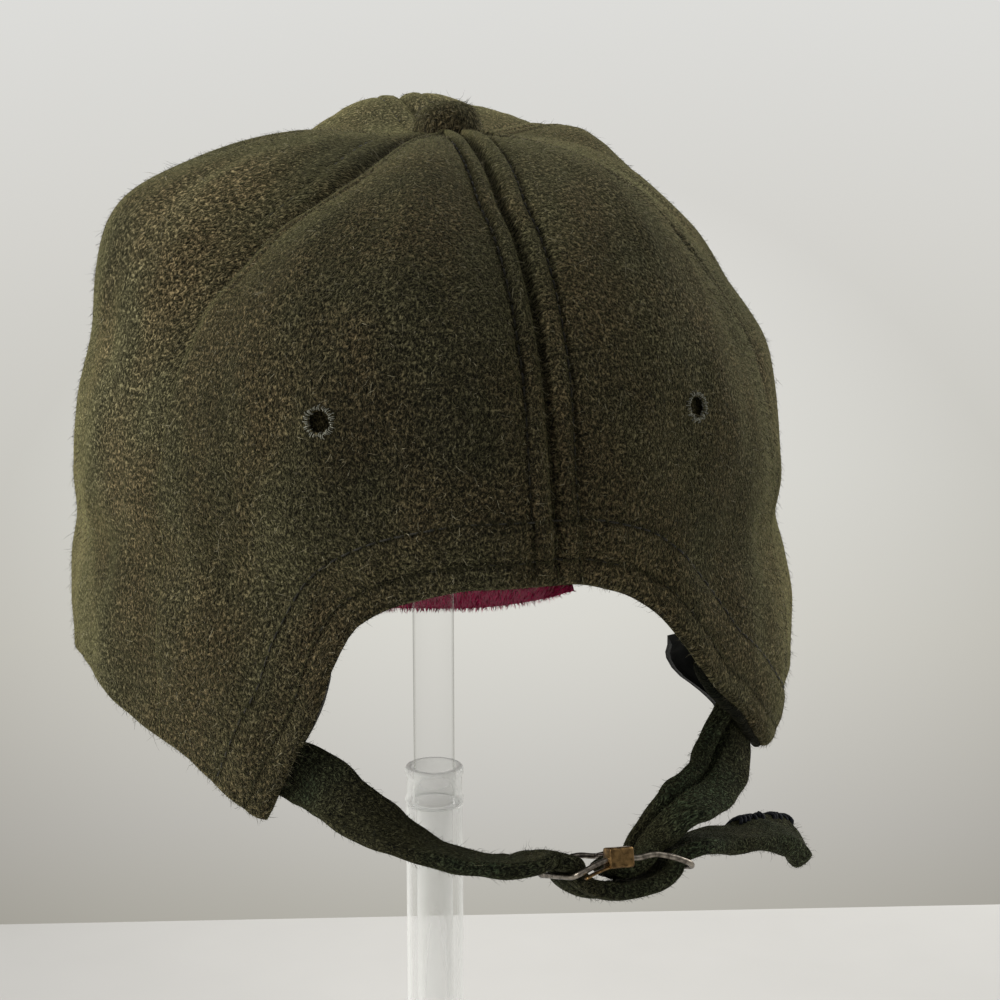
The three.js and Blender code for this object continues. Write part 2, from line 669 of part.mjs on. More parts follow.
// The way a strap's width lies beside the wall: upright, leaned inward by the row's angle
function leaning(row, last, next) {
  const run = next.clone().sub(last).normalize();
  const inward = new THREE.Vector3(-(row.at.x - CROWN_SHIFT) / HALF_WIDTH, -row.at.y / HALF_LENGTH, 0);
  inward.addScaledVector(run, -inward.dot(run)).normalize();
  const upright = inward.clone().cross(run).normalize();
  if (upright.z < 0) upright.negate();
  upright.multiplyScalar(Math.cos(radians(row.lean)));
  return upright.addScaledVector(inward, Math.sin(radians(row.lean))).normalize();
}

// Stations along a strap: rows beside the wall, then rows on the buckle, then rows beside the wall
function strapStations(before, middle, after, steps, middleWide) {
  const beside = (row) => ({ ...row, at: besideWall(row.angle, row.height, row.out) });
  const through = (row) => ({ wide: middleWide, twist: 0, ...row, at: onBuckle(row.a, 0, row.c) });
  const rows = [...before.map(beside), ...middle.map(through), ...after.map(beside)];
  const widths = [];
  rows.forEach((row, k) => {
    if (row.twist === undefined) {
      widths.push(leaning(row, rows[Math.max(k - 1, 0)].at, rows[Math.min(k + 1, rows.length - 1)].at));
      return;
    }
    const across = BUCKLE_ACROSS.clone().multiplyScalar(1 - row.twist);
    if (row.twist) across.addScaledVector(widths[before.length - 1], row.twist);
    widths.push(across.normalize());
  });
  const line = new THREE.CatmullRomCurve3(
    rows.map((row) => row.at),
    false,
    'centripetal',
  );
  const count = (rows.length - 1) * steps;
  return Array.from({ length: count + 1 }, (_, k) => {
    const place = (k / count) * (rows.length - 1);
    const i = Math.min(Math.floor(place), rows.length - 2);
    const run = line.getTangent(k / count);
    const across = widths[i].clone().lerp(widths[i + 1], place - i);
    across.addScaledVector(run, -across.dot(run)).normalize();
    const wide = rows[i].wide + (rows[i + 1].wide - rows[i].wide) * (place - i);
    return { centre: line.getPoint(k / count), across, normal: run.clone().cross(across).normalize(), wide };
  });
}

const leftStations = strapStations(STRAP_LEFT, THREADED, TAIL, 2, 13.5);
add('strap_left', sweep(leftStations, roundedStrip(1, STRAP_THICK), false), OLIVE_STRAP, 0.95, 0);

// The right strap comes down from its corner, goes under the centre bar and is sewn round it
const LOOP_BORE = WIRE_RADIUS + GAP + 0.05;
const LOOP_WALL = 2.3;
const underBar = bow(0) - LOOP_BORE - STRAP_THICK / 2;
const JOIN = [
  { a: 9, c: 6.6, twist: 0.3, wide: 11 },
  { a: 5.4, c: 2.4, twist: 0.15, wide: 10.2 },
  { a: 2.4, c: underBar + 0.5, wide: 10 },
  { a: 0, c: underBar, wide: 9 },
];
const rightStations = strapStations(STRAP_RIGHT, JOIN, [], 2, 9);
const loop = solid(crossBar(0, bow(0), LOOP_BORE + LOOP_WALL, 4.6, 12));
const loopBore = solid(crossBar(0, bow(0), LOOP_BORE, 8, 8));
const strip = solid(sweep(rightStations, roundedStrip(1, STRAP_THICK), false));
add('strap_right', surface(strip.add(loop).subtract(loopBore)), OLIVE_STRAP, 0.95, 0);

// Stand: base plate, thick tube, the collar that holds the rod on it, and the disc under the crown
const CLEAR = 0xdfe4e2;
const base = new THREE.BoxGeometry(BASE_SIDE, BASE_SIDE, BASE_TALL);
base.translate(0, 0, BASE_TALL / 2);
add('stand_base', base, CLEAR, 0.1, 0, 0);

function lathe(profile, segments) {
  const body = new THREE.LatheGeometry(
    profile.map(([r, z]) => new THREE.Vector2(r, z)),
    segments,
  );
  body.rotateX(Math.PI / 2);
  return surface(solid(body));
}

const tubeFoot = BASE_TALL + GAP;
add(
  'stand_tube',
  lathe(
    [
      [TUBE_BORE, tubeFoot],
      [TUBE_RADIUS, tubeFoot],
      [TUBE_RADIUS, TUBE_TOP],
      [TUBE_BORE, TUBE_TOP],
      [TUBE_BORE, tubeFoot],
    ],
    24,
  ),
  CLEAR,
  0.1,
  0,
  0,
);
const collarFoot = TUBE_TOP + GAP;
const collarTop = collarFoot + COLLAR_TALL;
add(
  'stand_collar',
  lathe(
    [
      [COLLAR_BORE, collarFoot],
      [COLLAR_RADIUS, collarFoot],
      [COLLAR_RADIUS, collarFoot + 1.6],
      [COLLAR_RADIUS - 0.4, collarFoot + 2],
      [COLLAR_RADIUS - 0.4, collarTop - 2.2],
      [COLLAR_RADIUS, collarTop - 1.8],
      [COLLAR_RADIUS, collarTop - 0.4],
      [COLLAR_RADIUS - 0.5, collarTop],
      [COLLAR_BORE, collarTop],
      [COLLAR_BORE, collarFoot],
    ],
    16,
  ),
  CLEAR,
  0.15,
  0,
  0,
);
const restTop = CAP_LIFT + Math.min(...crownHeights(0, REST_RADIUS, WALL)) - GAP;
const rodFoot = TUBE_TOP + GAP;
const rodTop = restTop - REST_TALL - GAP;
add(
  'stand_rod',
  lathe(
    [
      [0, rodFoot],
      [ROD_RADIUS, rodFoot],
      [ROD_RADIUS, rodTop],
      [0, rodTop],
    ],
    24,
  ),
  CLEAR,
  0.1,
  0,
  0,
);
add(
  'stand_rest',
  lathe(
    [
      [0, restTop - REST_TALL],
      [REST_RADIUS - 1, restTop - REST_TALL],
      [REST_RADIUS, restTop - REST_TALL + 1],
      [REST_RADIUS, restTop - 1],
      [REST_RADIUS - 1, restTop],
      [0, restTop],
    ],
    32,
  ),
  CLEAR,
  0.1,
  0,
  0,
);

export default cap;
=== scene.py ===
import math
import bpy
import numpy as np
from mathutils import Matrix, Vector


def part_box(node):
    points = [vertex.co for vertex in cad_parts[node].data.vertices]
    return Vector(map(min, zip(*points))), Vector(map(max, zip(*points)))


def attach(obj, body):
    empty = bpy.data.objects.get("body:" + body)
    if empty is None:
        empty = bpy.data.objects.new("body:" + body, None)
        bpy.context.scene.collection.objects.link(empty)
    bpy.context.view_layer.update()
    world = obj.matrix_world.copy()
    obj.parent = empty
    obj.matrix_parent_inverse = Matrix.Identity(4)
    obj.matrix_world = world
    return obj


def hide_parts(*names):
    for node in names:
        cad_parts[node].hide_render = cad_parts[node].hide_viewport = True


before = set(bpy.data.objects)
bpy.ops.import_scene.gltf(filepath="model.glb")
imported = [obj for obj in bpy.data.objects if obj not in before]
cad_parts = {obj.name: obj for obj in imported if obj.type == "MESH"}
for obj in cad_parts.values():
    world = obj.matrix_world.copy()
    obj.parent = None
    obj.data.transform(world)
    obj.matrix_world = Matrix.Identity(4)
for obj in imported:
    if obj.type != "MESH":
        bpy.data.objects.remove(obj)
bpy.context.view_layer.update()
rng = np.random.default_rng(7)

# Sizes in millimetres, the same as the solids'
MM = 0.001
CAP_LIFT = 190
CROWN_SHIFT = -1.8
TOP_SHIFT = 6.3
HALF_WIDTH = 86
HALF_LENGTH = 97
MEAN_RADIUS = 91
WIDEST_AT = 66
CROWN_TOP = 144
DOME_POWER = 2.35
WALL = 2.4
GAP = 0.3
PANEL_PUFF = 11.5
SEAM_DRAW = 0.3
VALLEY_ROUND = 0.18
BUTTON_RADIUS = 8.2
BUTTON_TALL = 7.5
EYELET_OUTER = 3.5
EYELET_HOLE = 1.9
BAND_TALL = 33
BAND_THICK = 1.4
PEAK_HALF_WIDTH = 62
PEAK_FRONT = 158
PEAK_BACK = 68
PEAK_ROOT_ANGLE = 44
PEAK_DROP = 24
PEAK_CAMBER = 0.8
PEAK_THICK = 3
LINING_THICK = 1.8
STRAP_THICK = 3.4
LOWEST = -10
WIRE_RADIUS = 0.75
BUCKLE_LONG = 29
BUCKLE_WIDE = 18
BUCKLE_BOW = 3.8
SLEEVE_AT = -4.3
SLEEVE_LONG = 5.6
SLEEVE_TALL = 4.4
TUBE_BORE = 4.7
COLLAR_BORE = 5.6

# Where the shown pieces differ from the solids: the peak's droop at one side and the wire's radius
PEAK_SAG = 4
WIRE_SHOWN = 0.64

# Sewing: how far the stitch rows lie from a seam and from the back opening's edge
SEAM_ROW = 5.4
HEM_ROWS = (5.5, 14)
STITCH_LONG = 3
THREAD_THICK = 0.17

# Degrees from the back seam within which seams show, and the height above which the side seams' stitches do
BACK_SEAM_REACH = 27
SIDE_STITCHES_ABOVE = 124

# Pile: lengths and half thicknesses of its hairs, how far they stand up, and how many there are
NAP_LONG = 2.4
NAP_THICK = 0.04
NAP_LEAN = 0.52
STIFF_LEAN = 0.6
BUTTON_HAIRS = 1400
PEAK_HAIRS = 2000
PLUSH_HAIRS = 5200
STRAP_HAIRS = {"strap_left": 4500, "strap_right": 2600}

# Share of the painted light and shade tone kept in its map, which then stays under 1
TONE_SCALE = 0.4

# Size of a millimetre in the cloth's maps
MAP_SCALE = 0.01

PANELS = [
    {"name": "back_left", "from": -57, "to": 0, "puff": 0.6, "hairs": 17500},
    {"name": "back_right", "from": 0, "to": 54, "puff": 0.55, "hairs": 13000},
    {"name": "side_right", "from": 54, "to": 117, "puff": 0.35, "hairs": 4800},
    {"name": "front_right", "from": 117, "to": 180, "puff": 0.5, "hairs": 2100},
    {"name": "front_left", "from": 180, "to": 241, "puff": 0.7, "hairs": 2100},
    {"name": "side_left", "from": 241, "to": 303, "puff": 1.05, "hairs": 9500},
]

WALL_ROWS = [
    {"height": -10, "out": 0.5},
    {"height": 8, "out": 1.4},
    {"height": 20, "out": 2.2},
    {"height": 32, "out": 2.2},
    {"height": 43, "out": 0.8},
    {"height": 54, "out": -1.4},
    {"height": 66, "out": 0},
]

EDGE_ROWS = [
    {"name": "front", "left": 180, "right": 180, "height": 15},
    {"name": "temple", "left": 110, "right": 110, "height": 22.5},
    {"name": "ear", "left": 80, "right": 78, "height": 22.6},
    {"name": "behind_ear", "left": 64, "right": 62, "height": 16.6},
    {"name": "nape_side", "left": 53, "right": 55, "height": 12},
    {"name": "corner_outer", "left": 46, "right": 53.2, "height": 7.4},
    {"name": "corner_tip", "left": 38.6, "right": 48, "height": 1.9},
    {"name": "corner_inner", "left": 36.4, "right": 43.4, "height": 8},
    {"name": "opening_low", "left": 33.4, "right": 37, "height": 17},
    {"name": "opening_side", "left": 30, "right": 28.5, "height": 27},
    {"name": "opening_bend", "left": 28, "right": 23.5, "height": 37},
    {"name": "opening_shoulder", "left": 24.6, "right": 18, "height": 46},
    {"name": "opening_top_side", "left": 18, "right": 12.5, "height": 50.6},
    {"name": "opening_top", "left": 8, "right": 5, "height": 53},
]
TIP = 6
RIGHT_CORNER_RISE = 2.4

# How far the seams wander round the crown from their own angles, in degrees
SEAM_SHIFTS = [
    {"height": 52, "left": 0, "back": 3, "right": 2},
    {"height": 75, "left": 0, "back": 2, "right": 2},
    {"height": 95, "left": 0, "back": 1.5, "right": 2},
    {"height": 108, "left": 0, "back": 0.8, "right": 2},
    {"height": 117, "left": 3, "back": 0, "right": 0},
    {"height": 125, "left": 6, "back": -1, "right": -3},
    {"height": 132, "left": 12, "back": -2.6, "right": -3},
    {"height": 138, "left": 15, "back": -2.6, "right": -8},
    {"height": 143, "left": 15, "back": -2.6, "right": -14},
]
SHIFTED_SEAMS = {"left": -57, "back": 0, "right": 54}
SHIFT_REACH = 50

FOLDS = [
    {"name": "dent_side_left", "angle": -96, "height": 93, "depth": -5.5, "wide": 18, "tall": 10},
    {"name": "tuck_side_left", "angle": -100, "height": 26, "depth": -2.2, "wide": 26, "tall": 16},
    {"name": "flare_side_right", "angle": 62, "height": 24, "depth": 1.6, "wide": 16, "tall": 14},
    {"name": "slack_side_right", "angle": 74, "height": 112, "depth": -4.5, "wide": 22, "tall": 17},
    {"name": "swell_front", "angle": 177, "height": 139, "depth": 19.6, "wide": 21.5, "tall": 10},
    {"name": "hollow_back_right", "angle": 38, "height": 108, "depth": -2.5, "wide": 12, "tall": 16},
    {"name": "swell_back_left", "angle": -28, "height": 112, "depth": 1.5, "wide": 16, "tall": 18},
    {"name": "shoulder_side_left", "angle": -92, "height": 120.5, "depth": 3.1, "wide": 20, "tall": 5.7},
    {"name": "flat_side_left", "angle": -92, "height": 101, "depth": -1.8, "wide": 18, "tall": 6},
    {"name": "waist_side_left", "angle": -94, "height": 76, "depth": -1.8, "wide": 18, "tall": 8},
    {"name": "shoulder_front_right", "angle": 111, "height": 142, "depth": 10.6, "wide": 17, "tall": 5.5},
    {"name": "fill_front_right", "angle": 140, "height": 142, "depth": 4.5, "wide": 11, "tall": 6},
    {"name": "flat_side_right", "angle": 80, "height": 131, "depth": -1, "wide": 10, "tall": 5},
    {"name": "full_side_right", "angle": 70, "height": 96, "depth": 2.2, "wide": 14, "tall": 9},
]

# Painted light and shade: where the cloth is coloured lighter for the light on its sides and top, and darker
# for the shade in its folds, tucks and hollows
PAINTED_LIGHT_AND_SHADE = [
    {"name": "band_beside_seam", "angle": -67, "height": 112, "tone": 0.9, "wide": 8, "tall": 22},
    {"name": "top_left_dark", "angle": -67, "height": 137, "tone": -0.4, "wide": 20, "tall": 6},
    {"name": "upper_left_dark", "angle": -49, "height": 109, "tone": -0.3, "wide": 7, "tall": 14},
    {"name": "hump_light", "angle": 180, "height": 143, "tone": 0.95, "wide": 40, "tall": 12},
    {"name": "shade_past_fold", "angle": -90, "height": 108, "tone": -0.3, "wide": 9, "tall": 16},
    {"name": "tuck_over_hem", "angle": -46, "height": 66, "tone": -0.4, "wide": 3.5, "tall": 12},
    {"name": "light_beside_tuck", "angle": -52, "height": 62, "tone": 0.25, "wide": 3, "tall": 12},
    {"name": "hollow_left", "angle": -49, "height": 88, "tone": -0.3, "wide": 6, "tall": 6},
    {"name": "below_eyelet_left", "angle": -26, "height": 78, "tone": -0.25, "wide": 6, "tall": 8},
    {"name": "middle_dark", "angle": -12, "height": 92, "tone": -0.25, "wide": 12, "tall": 18},
    {"name": "side_left_light", "angle": -88, "height": 66, "tone": 0.65, "wide": 22, "tall": 30},
    {"name": "right_light", "angle": 60, "height": 36, "tone": 0.65, "wide": 12, "tall": 28},
    {"name": "top_right_light", "angle": 62, "height": 134, "tone": 0.8, "wide": 13, "tall": 8},
    {"name": "top_dark", "angle": -15, "height": 130, "tone": -0.12, "wide": 26, "tall": 14},
]

# Slow waves of the felted cloth, in the cap's own angle and height, and how close together they lie round it
WAVES_CLOSE = 1.7
RIPPLES = [
    {"turns": 9, "rise": 0.05, "phase": 0.4, "deep": 0.28},
    {"turns": 14, "rise": -0.09, "phase": 2.1, "deep": 0.2},
    {"turns": 5, "rise": 0.13, "phase": 4.0, "deep": 0.25},
    {"turns": 23, "rise": 0.17, "phase": 1.3, "deep": 0.1},
    {"turns": 31, "rise": -0.22, "phase": 5.2, "deep": 0.07},
]


# Crown: where the cloth lies

def smooth(low, high, x):
    """0 below the low value and 1 above the high one, with a soft rise between them."""
    t = np.clip((x - low) / (high - low), 0, 1)
    return t * t * (3 - 2 * t)


def along(rows, key, value, x):
    """Smooth curve through two columns of a table."""
    xs = np.array([row[key] for row in rows], float)
    ys = np.array([row[value] for row in rows], float)
    steps = np.diff(ys) / np.diff(xs)
    product = steps[:-1] * steps[1:]
    total = steps[:-1] + steps[1:]
    slopes = np.zeros(len(xs))
    slopes[1:-1] = np.where(product > 0, 2 * product / np.where(total == 0, 1, total), 0)
    x = np.clip(x, xs[0], xs[-1])
    i = np.clip(np.searchsorted(xs, x, side="right") - 1, 0, len(xs) - 2)
    span = xs[i + 1] - xs[i]
    t = (x - xs[i]) / span
    rise = t * t * (3 - 2 * t)
    curve = slopes[i] * t * (1 - t) ** 2 * span - slopes[i + 1] * t * t * (1 - t) * span
    return ys[i] * (1 - rise) + ys[i + 1] * rise + curve


def signed(angle):
    """An angle brought between -180 and 180 degrees, 0 being the back."""
    return (np.asarray(angle, float) + 180) % 360 - 180


def edge_height(angle):
    """Height of the cap's lower edge at an angle."""
    a = signed(angle)
    size = np.abs(a)
    heights = {}
    for side in ("left", "right"):
        opening = along(EDGE_ROWS[TIP:][::-1], side, "height", size)
        rim = along(EDGE_ROWS[: TIP + 1][::-1], side, "height", size)
        heights[side] = np.where(size < EDGE_ROWS[TIP][side], opening, rim)
    rise = RIGHT_CORNER_RISE * np.exp(-(((size - EDGE_ROWS[TIP]["right"]) / 4) ** 2))
    heights["right"] = heights["right"] + rise
    return np.where(a < 0, heights["left"], heights["right"])


def opening_angle(side, height):
    """How far round from the back the opening's edge lies at a height."""
    return along(EDGE_ROWS[TIP:], "height", side, height)


def ellipse(angle, share, height, out):
    """A place on the head's oval at a share of its full size, moved out from it."""
    a = np.radians(angle)
    x = HALF_WIDTH * share * np.sin(a)
    y = -HALF_LENGTH * share * np.cos(a)
    nx, ny = x / HALF_WIDTH**2, y / HALF_LENGTH**2
    size = np.hypot(nx, ny) + 1e-12
    up = np.clip((height - WIDEST_AT) / (CROWN_TOP - WIDEST_AT), 0, 1)
    centre = CROWN_SHIFT + TOP_SHIFT * up**1.7
    parts = np.broadcast_arrays(centre + x + nx / size * out, y + ny / size * out, height)
    return np.stack(parts, -1)


def plain_crown(angle, t, low):
    """The crown without puff or folds: t is 0 at the button, 1 where it is widest and 2 at its edge."""
    turn = np.radians(90 * np.clip(t, 0.0001, 1))
    share = np.sin(turn) ** (2 / DOME_POWER)
    dome = WIDEST_AT + (CROWN_TOP - WIDEST_AT) * np.clip(np.cos(turn), 0, 1) ** (2 / DOME_POWER)
    side = WIDEST_AT + (low - WIDEST_AT) * (t - 1)
    height = np.where(t <= 1, dome, side)
    out = np.where(t <= 1, 0, along(WALL_ROWS, "height", "out", height))
    return ellipse(angle, share, height, out)


def seam_shift(angle, height):
    """How far the cloth has slid round the crown there, most at the three back seams."""
    total = 0
    for side, seam in SHIFTED_SEAMS.items():
        near = np.clip(1 - (signed(angle - seam) / SHIFT_REACH) ** 2, 0, 1) ** 2
        total = total + near * along(SEAM_SHIFTS, "height", side, height)
    return total


def between_seams(turn):
    """How far a place is from the seams of its panel, from 0 to 1, and how much that panel puffs out."""
    between = np.zeros(turn.shape)
    puff = np.zeros(turn.shape)
    for panel in PANELS:
        share = (turn - panel["from"]) / (panel["to"] - panel["from"])
        here = (share >= 0) & (share <= 1)
        arch = np.sin(np.pi * np.clip(share, 0, 1)) ** 0.85
        arch = (np.hypot(arch, VALLEY_ROUND) - VALLEY_ROUND) / (math.hypot(1, VALLEY_ROUND) - VALLEY_ROUND)
        between = np.where(here, arch, between)
        puff = np.where(here, panel["puff"], puff)
    return between, puff


def swell(angle, t, height):
    """How far the cloth stands off the plain crown: puffed between seams, drawn in along them."""
    own = angle - seam_shift(angle - seam_shift(angle, height), height)
    turn = (own - PANELS[0]["from"]) % 360 + PANELS[0]["from"]
    between, puff = between_seams(turn + 0 * t)
    inside = np.clip(t, 0, 1)
    dome = np.where(t < 1, np.sin(np.pi * inside**1.1) * smooth(0.03, 0.22, t) * PANEL_PUFF, 0)
    out = (dome + 1.2 * smooth(0.5, 1, t)) * (puff * between - SEAM_DRAW)
    for fold in FOLDS:
        across = signed(angle - fold["angle"]) / fold["wide"]
        up = (height - fold["height"]) / fold["tall"]
        out = out + fold["depth"] * smooth(0.05, 0.3, t) * np.exp(-(across**2 + up**2) / 2)
    return out


def crown(angle, t, inset=0.0, low=None, normals=False):
    """A point of the cloth's outer face, or one inset from it."""
    if low is None:
        low = edge_height(angle)
    here = plain_crown(angle, t, low)
    step = 0.01
    down = plain_crown(angle, t + step, low) - plain_crown(angle, np.maximum(t - step, 0.0001), low)
    around = plain_crown(angle + 0.5, t, low) - plain_crown(angle - 0.5, t, low)
    normal = np.cross(around, down)
    normal /= np.linalg.norm(normal, axis=-1, keepdims=True) + 1e-12
    facing = normal[..., 0] * here[..., 0] + normal[..., 1] * here[..., 1] + normal[..., 2] * 40
    normal = np.where(facing[..., None] < 0, -normal, normal)
    out = swell(angle, t, here[..., 2]) - inset
    point = here + normal * out[..., None]
    return (point, normal) if normals else point


def beside_wall(angle, height, out):
    """A point beside the wall below the widest place, a distance out from its outer face."""
    t = 1 + (WIDEST_AT - height) / (WIDEST_AT - LOWEST)
    return crown(angle, t, -out, LOWEST)


def crown_share(height):
    """The share down the dome at a height."""
    up = np.clip((height - WIDEST_AT) / (CROWN_TOP - WIDEST_AT), 0, 1)
    return np.degrees(np.arccos(up ** (DOME_POWER / 2))) / 90


def on_cloth(angle, height, out):
    """A point and normal of the outer face at an angle and height."""
    low = edge_height(angle)
    wall = 1 + (WIDEST_AT - height) / np.maximum(WIDEST_AT - low, 1)
    t = np.where(height > WIDEST_AT, crown_share(height), wall)
    return crown(angle, t, -out, low, normals=True)


def painted_light_tone(angle, height):
    """How much lighter or darker the cloth is painted there for light and shade, 1 being its usual tone."""
    tone = 1.0
    for row in PAINTED_LIGHT_AND_SHADE:
        across = signed(angle - row["angle"]) / row["wide"]
        up = (height - row["height"]) / row["tall"]
        tone = tone + row["tone"] * np.exp(-(across**2 + up**2) / 2)
    return np.clip(tone, 0.35, 2.4)


def seam_shows(angle, height):
    """1 where the seam and its stitching stand clear of the nap, less where the nap has closed over it."""
    back = np.abs(signed(angle)) < BACK_SEAM_REACH
    return np.where(back, 1.0, 0.1 + 0.25 * smooth(100, 130, height))


def ripple(angle, height):
    """Low waves of the cloth, which die out at the front seam."""
    own = signed(angle)
    total = 0
    for wave in RIPPLES:
        total = total + wave["deep"] * np.sin(
            wave["turns"] * np.radians(own) * WAVES_CLOSE + wave["rise"] * height + wave["phase"]
        )
    return total * (1 - smooth(150, 178, np.abs(own)))


# Building meshes

def build(name, points, faces, material, slot, replaces=(), smooth_faces=True, uvs=None, tones=None):
    """A mesh in the frame from points in millimetres above the cap's own zero, riding on the body."""
    mesh = bpy.data.meshes.new(name)
    points = np.asarray(points, float).reshape(-1, 3) + np.array((0, 0, CAP_LIFT))
    faces = [np.asarray(group) for group in faces if len(group)]
    mesh.vertices.add(len(points))
    mesh.vertices.foreach_set("co", (points * MM).astype(np.float32).ravel())
    corners = np.concatenate([group.ravel() for group in faces])
    sizes = np.concatenate([np.full(len(group), group.shape[1]) for group in faces])
    mesh.loops.add(len(corners))
    mesh.loops.foreach_set("vertex_index", corners.astype(np.int32))
    mesh.polygons.add(len(sizes))
    mesh.polygons.foreach_set("loop_start", np.concatenate([[0], np.cumsum(sizes)[:-1]]).astype(np.int32))
    mesh.update(calc_edges=True)
    mesh.validate()
    if uvs is not None:
        for layer_name, values in uvs.items():
            layer = mesh.uv_layers.new(name=layer_name)
            layer.data.foreach_set("uv", values[corners].astype(np.float32).ravel())
    if tones is not None:
        attribute = mesh.attributes.new("tone", "FLOAT", "POINT")
        attribute.data.foreach_set("value", tones.astype(np.float32))
    if smooth_faces:
        mesh.shade_smooth()
    else:
        mesh.shade_flat()
    mesh.materials.append(material)
    piece = bpy.data.objects.new(name, mesh)
    bpy.context.scene.collection.objects.link(piece)
    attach(piece, "root")
    if replaces:
        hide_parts(*replaces)
    return piece


def grid_faces(rows, columns, first=0, flip=False, ring=False):
    """Quads of a grid of points, rows by columns, closed across its columns for a ring."""
    j, i = np.meshgrid(np.arange(rows - 1), np.arange(columns if ring else columns - 1), indexing="ij")
    a = first + j * columns + i
    b = first + j * columns + (i + 1) % columns
    quads = np.stack([a, b, b + columns, a + columns], -1).reshape(-1, 4)
    return quads[:, ::-1] if flip else quads


def shell_faces(rows, columns):
    """Faces of a closed sheet: an outer grid, an inner grid and the four edges between them."""
    count = rows * columns
    outer = grid_faces(rows, columns)
    inner = grid_faces(rows, columns, count, flip=True)
    rim = []
    top = np.arange(columns)
    bottom = (rows - 1) * columns + top
    left = np.arange(rows) * columns
    right = left + columns - 1
    for line, flip in ((top, True), (bottom, False), (left, False), (right, True)):
        a, b = line[:-1], line[1:]
        quads = np.stack([a, b, b + count, a + count], -1)
        rim.append(quads[:, ::-1] if not flip else quads)
    return [np.concatenate([outer, inner, *rim])]


def end_caps(rows, columns):
    """Fans that close a ring grid's first and last rows onto two points that follow the grid."""
    first = np.arange(columns)
    after = (first + 1) % columns
    centre = rows * columns
    last = centre - columns
    near = np.stack([np.full(columns, centre), after, first], -1)
    far = np.stack([np.full(columns, centre + 1), last + first, last + after], -1)
    return np.concatenate([near, far])


def path_length(path):
    """Length along a path at each of its points."""
    return np.concatenate([[0], np.cumsum(np.linalg.norm(np.diff(path, axis=0), axis=-1))])


def between_rows(at, places, rows):
    """Points or directions at places between the rows of a table of them."""
    return np.stack([np.interp(at, places, rows[:, k]) for k in range(3)], -1)


def rounding(inside, radius, least):
    """Share of its full thickness that a sheet has at a distance inside its rounded edge."""
    share = np.clip(inside / radius, 0, 1)
    return np.sqrt(np.clip(1 - (1 - share) ** 2, least, 1))


def unit(v):
    return v / (np.linalg.norm(v, axis=-1, keepdims=True) + 1e-12)


def hairs(name, roots, ways, curls, lengths, radii, tones, material, slot):
    """Curved hairs: three-sided, closed at the root and drawn to a point."""
    ways = unit(ways)
    middle = roots + ways * (lengths * 0.5)[:, None]
    tip = middle + unit(ways + curls) * (lengths * 0.5)[:, None]
    side = unit(np.cross(ways, curls + np.array((0.31, 0.17, 0.52))))
    other = np.cross(ways, side)
    rings = []
    for centre, scale in ((roots, 1.0), (middle, 0.8)):
        for corner in range(3):
            turn = 2 * math.pi * corner / 3
            reach = side * math.cos(turn) + other * math.sin(turn)
            rings.append(centre + reach * (radii * scale)[:, None])
    points = np.stack([*rings, tip], 1)
    first = np.arange(len(roots))[:, None] * 7
    pattern = [(0, 1, 2)]
    for k in range(3):
        n = (k + 1) % 3
        pattern += [(k, 3 + k, n), (n, 3 + k, 3 + n), (3 + k, 6, 3 + n)]
    faces = np.concatenate([first + np.array(p) for p in pattern])
    return build(
        name, points.reshape(-1, 3), [faces], material, slot, smooth_faces=False, tones=np.repeat(tones, 7)
    )


def scatter(grid, normals, count, weight=None):
    """Random places on a grid of points: the place, its normal, the way down and the way across."""
    a, b = grid[:-1, :-1], grid[:-1, 1:]
    c, d = grid[1:, :-1], grid[1:, 1:]
    area = np.linalg.norm(np.cross(d - a, b - c), axis=-1)
    if weight is not None:
        area = area * weight[:-1, :-1]
    pick = rng.choice(area.size, count, p=(area / area.sum()).ravel())
    j, i = np.unravel_index(pick, area.shape)
    u, v = rng.random((2, count, 1))
    place = (a[j, i] * (1 - u) + b[j, i] * u) * (1 - v) + (c[j, i] * (1 - u) + d[j, i] * u) * v
    normal = unit(normals[j, i])
    down = unit(c[j, i] - a[j, i])
    return place, normal, down, np.cross(normal, down)


def surface_normals(grid, away_from):
    """Normals of a grid of points, on the side that faces away from a place or from a grid of places."""
    normals = unit(np.cross(np.gradient(grid, axis=0), np.gradient(grid, axis=1)))
    facing = (normals * (grid - away_from)).sum(-1, keepdims=True)
    return np.where(facing < 0, -normals, normals)


def nap(name, grid, normals, count, material, slot, weight=None, lean=NAP_LEAN):
    """The raised nap of a felted surface, combed roughly downward."""
    place, normal, down, across = scatter(grid, normals, count, weight)
    swirl = rng.normal(0, 1.0, (count, 1))
    comb = down * np.cos(swirl) + across * np.sin(swirl)
    stand = np.abs(rng.normal(lean, 0.28, (count, 1)))
    ways = comb + normal * stand
    curls = normal * rng.normal(-0.15, 0.5, (count, 1)) + across * rng.normal(0, 0.6, (count, 1))
    lengths = np.clip(rng.lognormal(math.log(NAP_LONG * 0.5), 0.45, count), 0.5, NAP_LONG * 2.4)
    radii = NAP_THICK * rng.uniform(0.6, 1.25, count)
    tones = rng.random(count)
    return hairs(name, place - normal * 0.1, ways, curls, lengths, radii, tones, material, slot)


def sweep(centres, across, normal, outline, ring=False):
    """Points and faces of an outline swept through stations."""
    outline = np.asarray(outline, float)
    side, up = outline[None, :, :1], outline[None, :, 1:]
    points = centres[:, None] + across[:, None] * side + normal[:, None] * up
    rows, columns = points.shape[:2]
    if ring:
        faces = grid_faces(rows + 1, columns, ring=True) % (rows * columns)
        return points.reshape(-1, 3), [faces]
    ends = np.stack([points[0].mean(0), points[-1].mean(0)])
    faces = [grid_faces(rows, columns, ring=True), end_caps(rows, columns)]
    return np.concatenate([points.reshape(-1, 3), ends]), faces


def circle(count, radius):
    turn = np.arange(count) * 2 * math.pi / count
    return np.stack([radius * np.cos(turn), radius * np.sin(turn)], -1)


